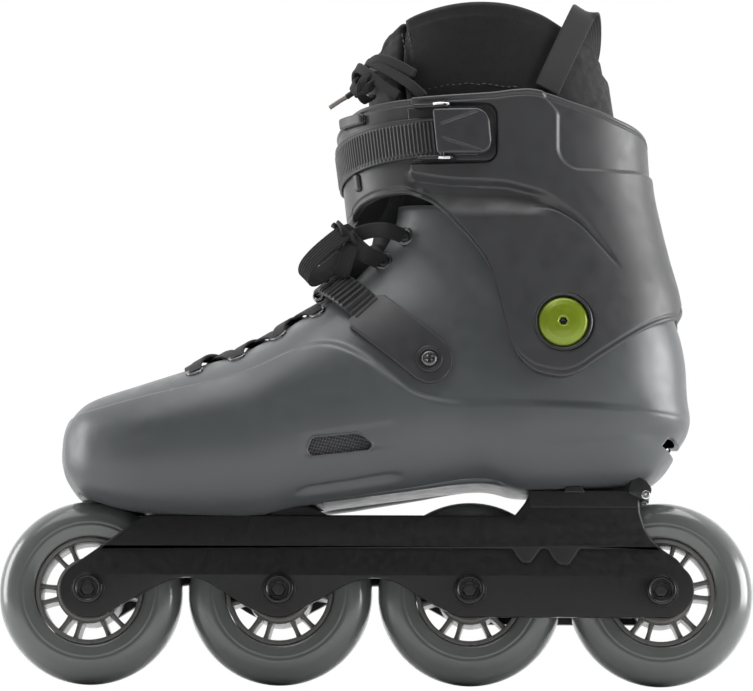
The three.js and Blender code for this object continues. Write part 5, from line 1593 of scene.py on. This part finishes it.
def tongue():
    s_fine = np.linspace(4.3, 18.9, 500)
    mid = boot_point(LINER, s_fine, np.zeros(500))
    length = np.concatenate([[0], np.cumsum(np.linalg.norm(np.diff(mid, axis=0), axis=1))])
    gap = liner_gap(s_fine) * 0.995
    girth = []
    for s, g in zip(s_fine, gap):
        p = boot_point(LINER, np.full(24, s), np.linspace(0, max(g, 0.02), 24))
        girth.append(np.linalg.norm(np.diff(p, axis=0), axis=1).sum())
    girth = np.array(girth)

    turn_share = np.linspace(0, 1, 30)
    reach = []
    for share in turn_share:
        p = boot_point(LINER, s_fine, gap * share)
        over = p[:, 2] > np.interp(p[:, 0], COLLAR_TOP[:, 0], COLLAR_TOP[:, 1]) - 1.5
        reach.append(length[np.argmax(over)])
    reach = np.array(reach)

    def surface(u, v, h):
        w = np.interp(u, length, girth)
        turn_part = np.abs(v) / w
        u = u * np.interp(turn_part, turn_share, reach) / length[-1]
        s, g = np.interp(u, length, s_fine), np.interp(u, length, gap)
        turns = v / w * g
        return boot_point(LINER, s, turns) + boot_normal(LINER, s, turns) * h[..., None]

    half = lambda u: np.interp(u, length, girth)

    def ridges(u, v):
        """The tongue bulges out between the shell's front edges, and its cloth waves a little."""
        z = np.interp(u, length, mid[:, 2])
        rise = smooth(160, 180, z) * smooth(240, 216, z) * (1 - 0.45 * smooth(194, 208, z))
        seam = 0.5 * np.exp(-((length[-1] - u - 6) / 0.6) ** 2)
        return 14.5 * rise * smooth(27, 13, np.abs(v)) + 0.7 * np.cos(v / 5.5) + 0.35 * np.sin(u / 9) - seam

    made = piece("liner_tongue", slab(surface, np.arange(0, length[-1], 1.0), lambda u: -half(u), half,
                                      -LINER_WALL, -0.8, 2.4, rows=50, relief=ridges),
                 LOOK["knit"], None, ["tongue_lower", "tongue_upper"],
                 blend=("boot", "cuff", FLEX_LOW, FLEX_HIGH))


tongue()


def footbed():
    sections = inset(LINER[1:12], LINER_WALL, LINER_WALL, LINER_WALL)
    s_fine = np.linspace(0.35, 9.7, 300)
    mid = boot_point(sections, s_fine, np.full(300, PI))
    length = np.concatenate([[0], np.cumsum(np.linalg.norm(np.diff(mid, axis=0), axis=1))])
    widths = []
    for s in s_fine:
        p = boot_point(sections, np.full(24, s), np.linspace(PI, PI + 0.74, 24))
        widths.append(np.linalg.norm(np.diff(p, axis=0), axis=1).sum())
    widths = np.array(widths)

    def surface(u, v, h):
        s, w = np.interp(u, length, s_fine), np.interp(u, length, widths)
        turns = PI + v / w * 0.74
        return boot_point(sections, s, turns) - boot_normal(sections, s, turns) * h[..., None]

    half = lambda u: np.interp(u, length, widths)
    quilt = lambda u, v: 0.25 * np.cos(u / 4.0) * np.cos(v / 4.0) + 0.5 * smooth(18, 30, np.abs(v))
    made = piece("insole", slab(surface, np.arange(0, length[-1], 1.5), lambda u: -half(u), half, 1.9, 4.5,
                                0.9, rows=40, relief=quilt),
                 LOOK["footbed"], "boot", ["footbed"])


footbed()

# ---- pull tab ----
TAB = np.array([(73.9, -39.6, 255.5), (78.6, -38.6, 266), (84.8, -36.2, 280), (89.0, -33.8, 289.4),
                (90.4, -31.2, 292.2), (91.6, -28.0, 291.4),
                (92.8, -23.4, 286), (93.4, -19.2, 278), (92, -17.4, 269)])
tab_across = np.array([(0.88, 0.26, -0.38)] * 5 + [(0.86, 0.36, -0.34), (0.80, 0.54, -0.24),
                                                   (0.68, 0.72, -0.1), (0.6, 0.8, 0)])
tab_parts = [ribbon(TAB, tab_across, 11.4, 1.5, step=0.5, ribs=9, rib_depth=0.14)]
tab_surface, _ = path_frame(TAB, tab_across)
for v in (-4.3, 4.3):
    line = tab_surface(np.linspace(2, 14, 14), np.full(14, v), np.full(14, 0.8))
    tab_parts.append(capsules(line, np.tile([0, -1.0, 0], (14, 1)), 1.6, 0.2, 1.0))
piece("pull_loop", tab_parts, LOOK["webbing"], "cuff", ["pull_tab"])

# ---- laces ----
def lace(points, across, width=5.4, thickness=1.5, ribs=4):
    """A flat ribbed lace on a path."""
    return ribbon(np.array(points, float), across, width, thickness, step=0.45, ribs=ribs, rib_depth=0.32,
                  crown=0.25)


def over_instep(a, b, rise=1.3, bulge=0.0):
    """Lace points over the instep, from one side's eyelet to the other side's."""
    start, end = side_hit(*a, -1)[0], side_hit(*b, 1)[0]
    centre = np.array([(a[0] + b[0]) / 2 + 22, 0, (a[1] + b[1]) / 2 - 34])
    from_way, to_way = unit(start - centre), unit(end - centre)
    angle = math.acos(np.clip(from_way @ to_way, -1, 1))
    out = []
    for t in np.linspace(0, 1, 13):
        way = (math.sin((1 - t) * angle) * from_way + math.sin(t * angle) * to_way) / math.sin(angle)
        place, normal = skin_hit(centre, way)
        out.append(place + normal * (rise * min(1, min(t, 1 - t) / 0.12 + 0.1) + bulge * math.sin(PI * t)))
    return out


LACE_ACROSS = np.array([0.86, 0, 0.51])
lace_parts = []
for k, place in enumerate(EYELETS[:4]):
    lace_parts.append(lace(over_instep(place, place), LACE_ACROSS, width=6.0, thickness=1.3))
for k in range(3):
    lace_parts.append(lace(over_instep(EYELETS[k + 1], EYELETS[k], bulge=1.0), LACE_ACROSS, width=6.0,
                           thickness=1.3))
    lace_parts.append(lace(over_instep(EYELETS[k], EYELETS[k + 1], bulge=1.9), LACE_ACROSS, width=6.0,
                           thickness=1.3))
lace_parts.append(lace(over_instep(EYELETS[4], EYELETS[4], rise=2.0, bulge=1.0), LACE_ACROSS, width=6.0))
piece("lace_rows", lace_parts, LOOK["lace"], "boot", ["shell_lace"])

# Strands run from the two upper eyelets to the knot. The bow lies over the ladder strap's front, with its
# loops towards the outer side.
low_eye, high_eye = side_hit(3.5, 182.2, -1)[0], side_hit(12.6, 193.2, -1)[0]
BOW_WIDTH, BOW_RIBS = 7.6, 7


def bow_lace(points, across, width=BOW_WIDTH):
    return lace(points, across, width=width, thickness=1.5, ribs=BOW_RIBS)


strands = [
    bow_lace([high_eye + [0.6, 1.4, -0.4], high_eye + [-1.6, -1.4, 0.4], (5.5, -31.5, 194.8),
              (-1.0, -29.5, 195.4), (-8, -26, 194.0), (-13, -21, 191.5)], (0.16, -0.25, 0.95), 6.6),
    bow_lace([low_eye + [0.6, 1.4, -0.4], low_eye + [-2.0, -1.6, 0.6], (-3.8, -30.5, 184.4),
              (-8.5, -29.5, 188.5), (-12, -26.5, 192.5), (-15, -22, 195)], (0.62, -0.25, 0.72)),
]
bow = [
    # The large loop, seen flat: out along the top, round the fold, and back underneath.
    bow_lace([(-9.5, -24.5, 196.5), (-14.5, -29.2, 193.6), (-20.5, -31.0, 188.6), (-26.0, -31.4, 183.4),
              (-29.6, -30.6, 179.0), (-30.6, -28.4, 175.8), (-28.8, -26.2, 174.2),
              (-24.5, -25.4, 176.0), (-19.0, -24.6, 180.5), (-13.5, -22.5, 186)], (0.60, -0.42, -0.68), 8.6),
    # A second loop under it, nearer the strap.
    bow_lace([(-8.5, -24.0, 193.5), (-10.5, -29.6, 188.0), (-12.4, -30.8, 182.4), (-14.0, -29.8, 177.8),
              (-15.6, -27.0, 176.6), (-16.0, -24.6, 180.2), (-13.4, -22.8, 186.5)],
             (0.86, -0.32, -0.34), 7.0),
    # Two ends: one stands up behind the loop, the other hangs in front of the strap.
    bow_lace([(-11, -21, 191), (-14.6, -21.6, 194.6), (-17.4, -22.0, 197.4), (-19.2, -22.4, 199.6)],
             (0.62, -0.1, -0.76), 6.8),
    bow_lace([(-12, -22, 189), (-19.5, -20.5, 184.5), (-22.6, -22.0, 178.6), (-23.4, -23.5, 173.4)],
             (0.9, -0.25, -0.3), 6.2),
    # The knot's wrap.
    bow_lace([(-7.4, -22.5, 190.2), (-9.4, -28.6, 190.4), (-12.6, -29.6, 194.4), (-14.6, -25.0, 198.0),
              (-14.4, -20.0, 197.4)], (0.70, -0.1, -0.70), 6.8),
]
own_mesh(piece("bow_strands", strands, LOOK["lace"], "boot"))
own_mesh(piece("bow", bow, LOOK["lace"], "boot", ["lace_bow"]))

# The liner's own lace: a bar round the collar, a knot in front, and a loose end.
collar_bar = []
for angle in np.linspace(-0.95, 0.95, 15):
    t = math.copysign(float(polar(abs(angle))), angle) if angle else 0.0
    s = np.array([16.95])
    collar_bar.append((boot_point(LINER, s, np.array([t])) + boot_normal(LINER, s, np.array([t])) * 1.2)[0])
cord_parts = [lace(collar_bar, (0, 0, 1.0), width=4.6, thickness=1.4, ribs=3)]


def collar_strand(points, across, width=4.4):
    return lace(points, across, width=width, thickness=1.5, ribs=4)


cord_parts += [
    collar_strand([(21, -42.5, 251.5), (15.5, -41.5, 257.0), (8.5, -38.0, 262.5), (2.0, -34.0, 267.2),
                   (-3.4, -28.0, 270.2), (-6.0, -21.0, 268.5), (-6.8, -12.0, 263.0)],
                  (0.5, -0.35, 0.79)),
    collar_strand([(10, -38.5, 253.0), (4.0, -35.5, 257.6), (-1.0, -33.0, 262.0), (-5.6, -29.5, 266.2),
                   (-8.6, -25.0, 268.6), (-9.6, -19.5, 266.0), (-8.4, -10.0, 259.5)],
                  (0.5, -0.35, 0.79)),
    collar_strand([(17.0, -41.5, 262.0), (10.5, -39.0, 266.4), (4.5, -36.0, 269.6), (-0.6, -31.5, 271.0),
                   (-4.6, -25.0, 269.0), (-6.4, -16.0, 264.0)], (0.45, -0.35, 0.82), 4.0),
    collar_strand([(-2.6, -31.0, 265.4), (-6.0, -31.5, 260.6), (-6.8, -29.5, 256.0), (-4.4, -27.0, 253.6),
                   (-1.6, -25.0, 256.4)], (0.85, -0.3, 0.42)),
    collar_strand([(0.6, -31.5, 262.8), (-3.2, -32.0, 258.4), (-8.6, -29.5, 257.4), (-10.6, -26.5, 260.6),
                   (-8.0, -23.5, 263.4)], (0.4, -0.35, 0.84)),
    tube(np.array([(-5.0, -28.5, 257.8), (-9.6, -27.5, 257.2), (-13.2, -26.5, 255.2)]), 1.25, 12, 20),
]
piece("collar_lace", cord_parts, LOOK["lace"], "cuff", ["liner_lace"])
piece("collar_lace_tip", [tube(np.array([(-12.2, -26.8, 255.8), (-16.5, -25.8, 253.4),
                                         (-20.7, -25, 250.7)]), 1.0, 12, 16)],
      LOOK["tip"], "cuff")

# ---- final scene update ----
bpy.context.view_layer.update()
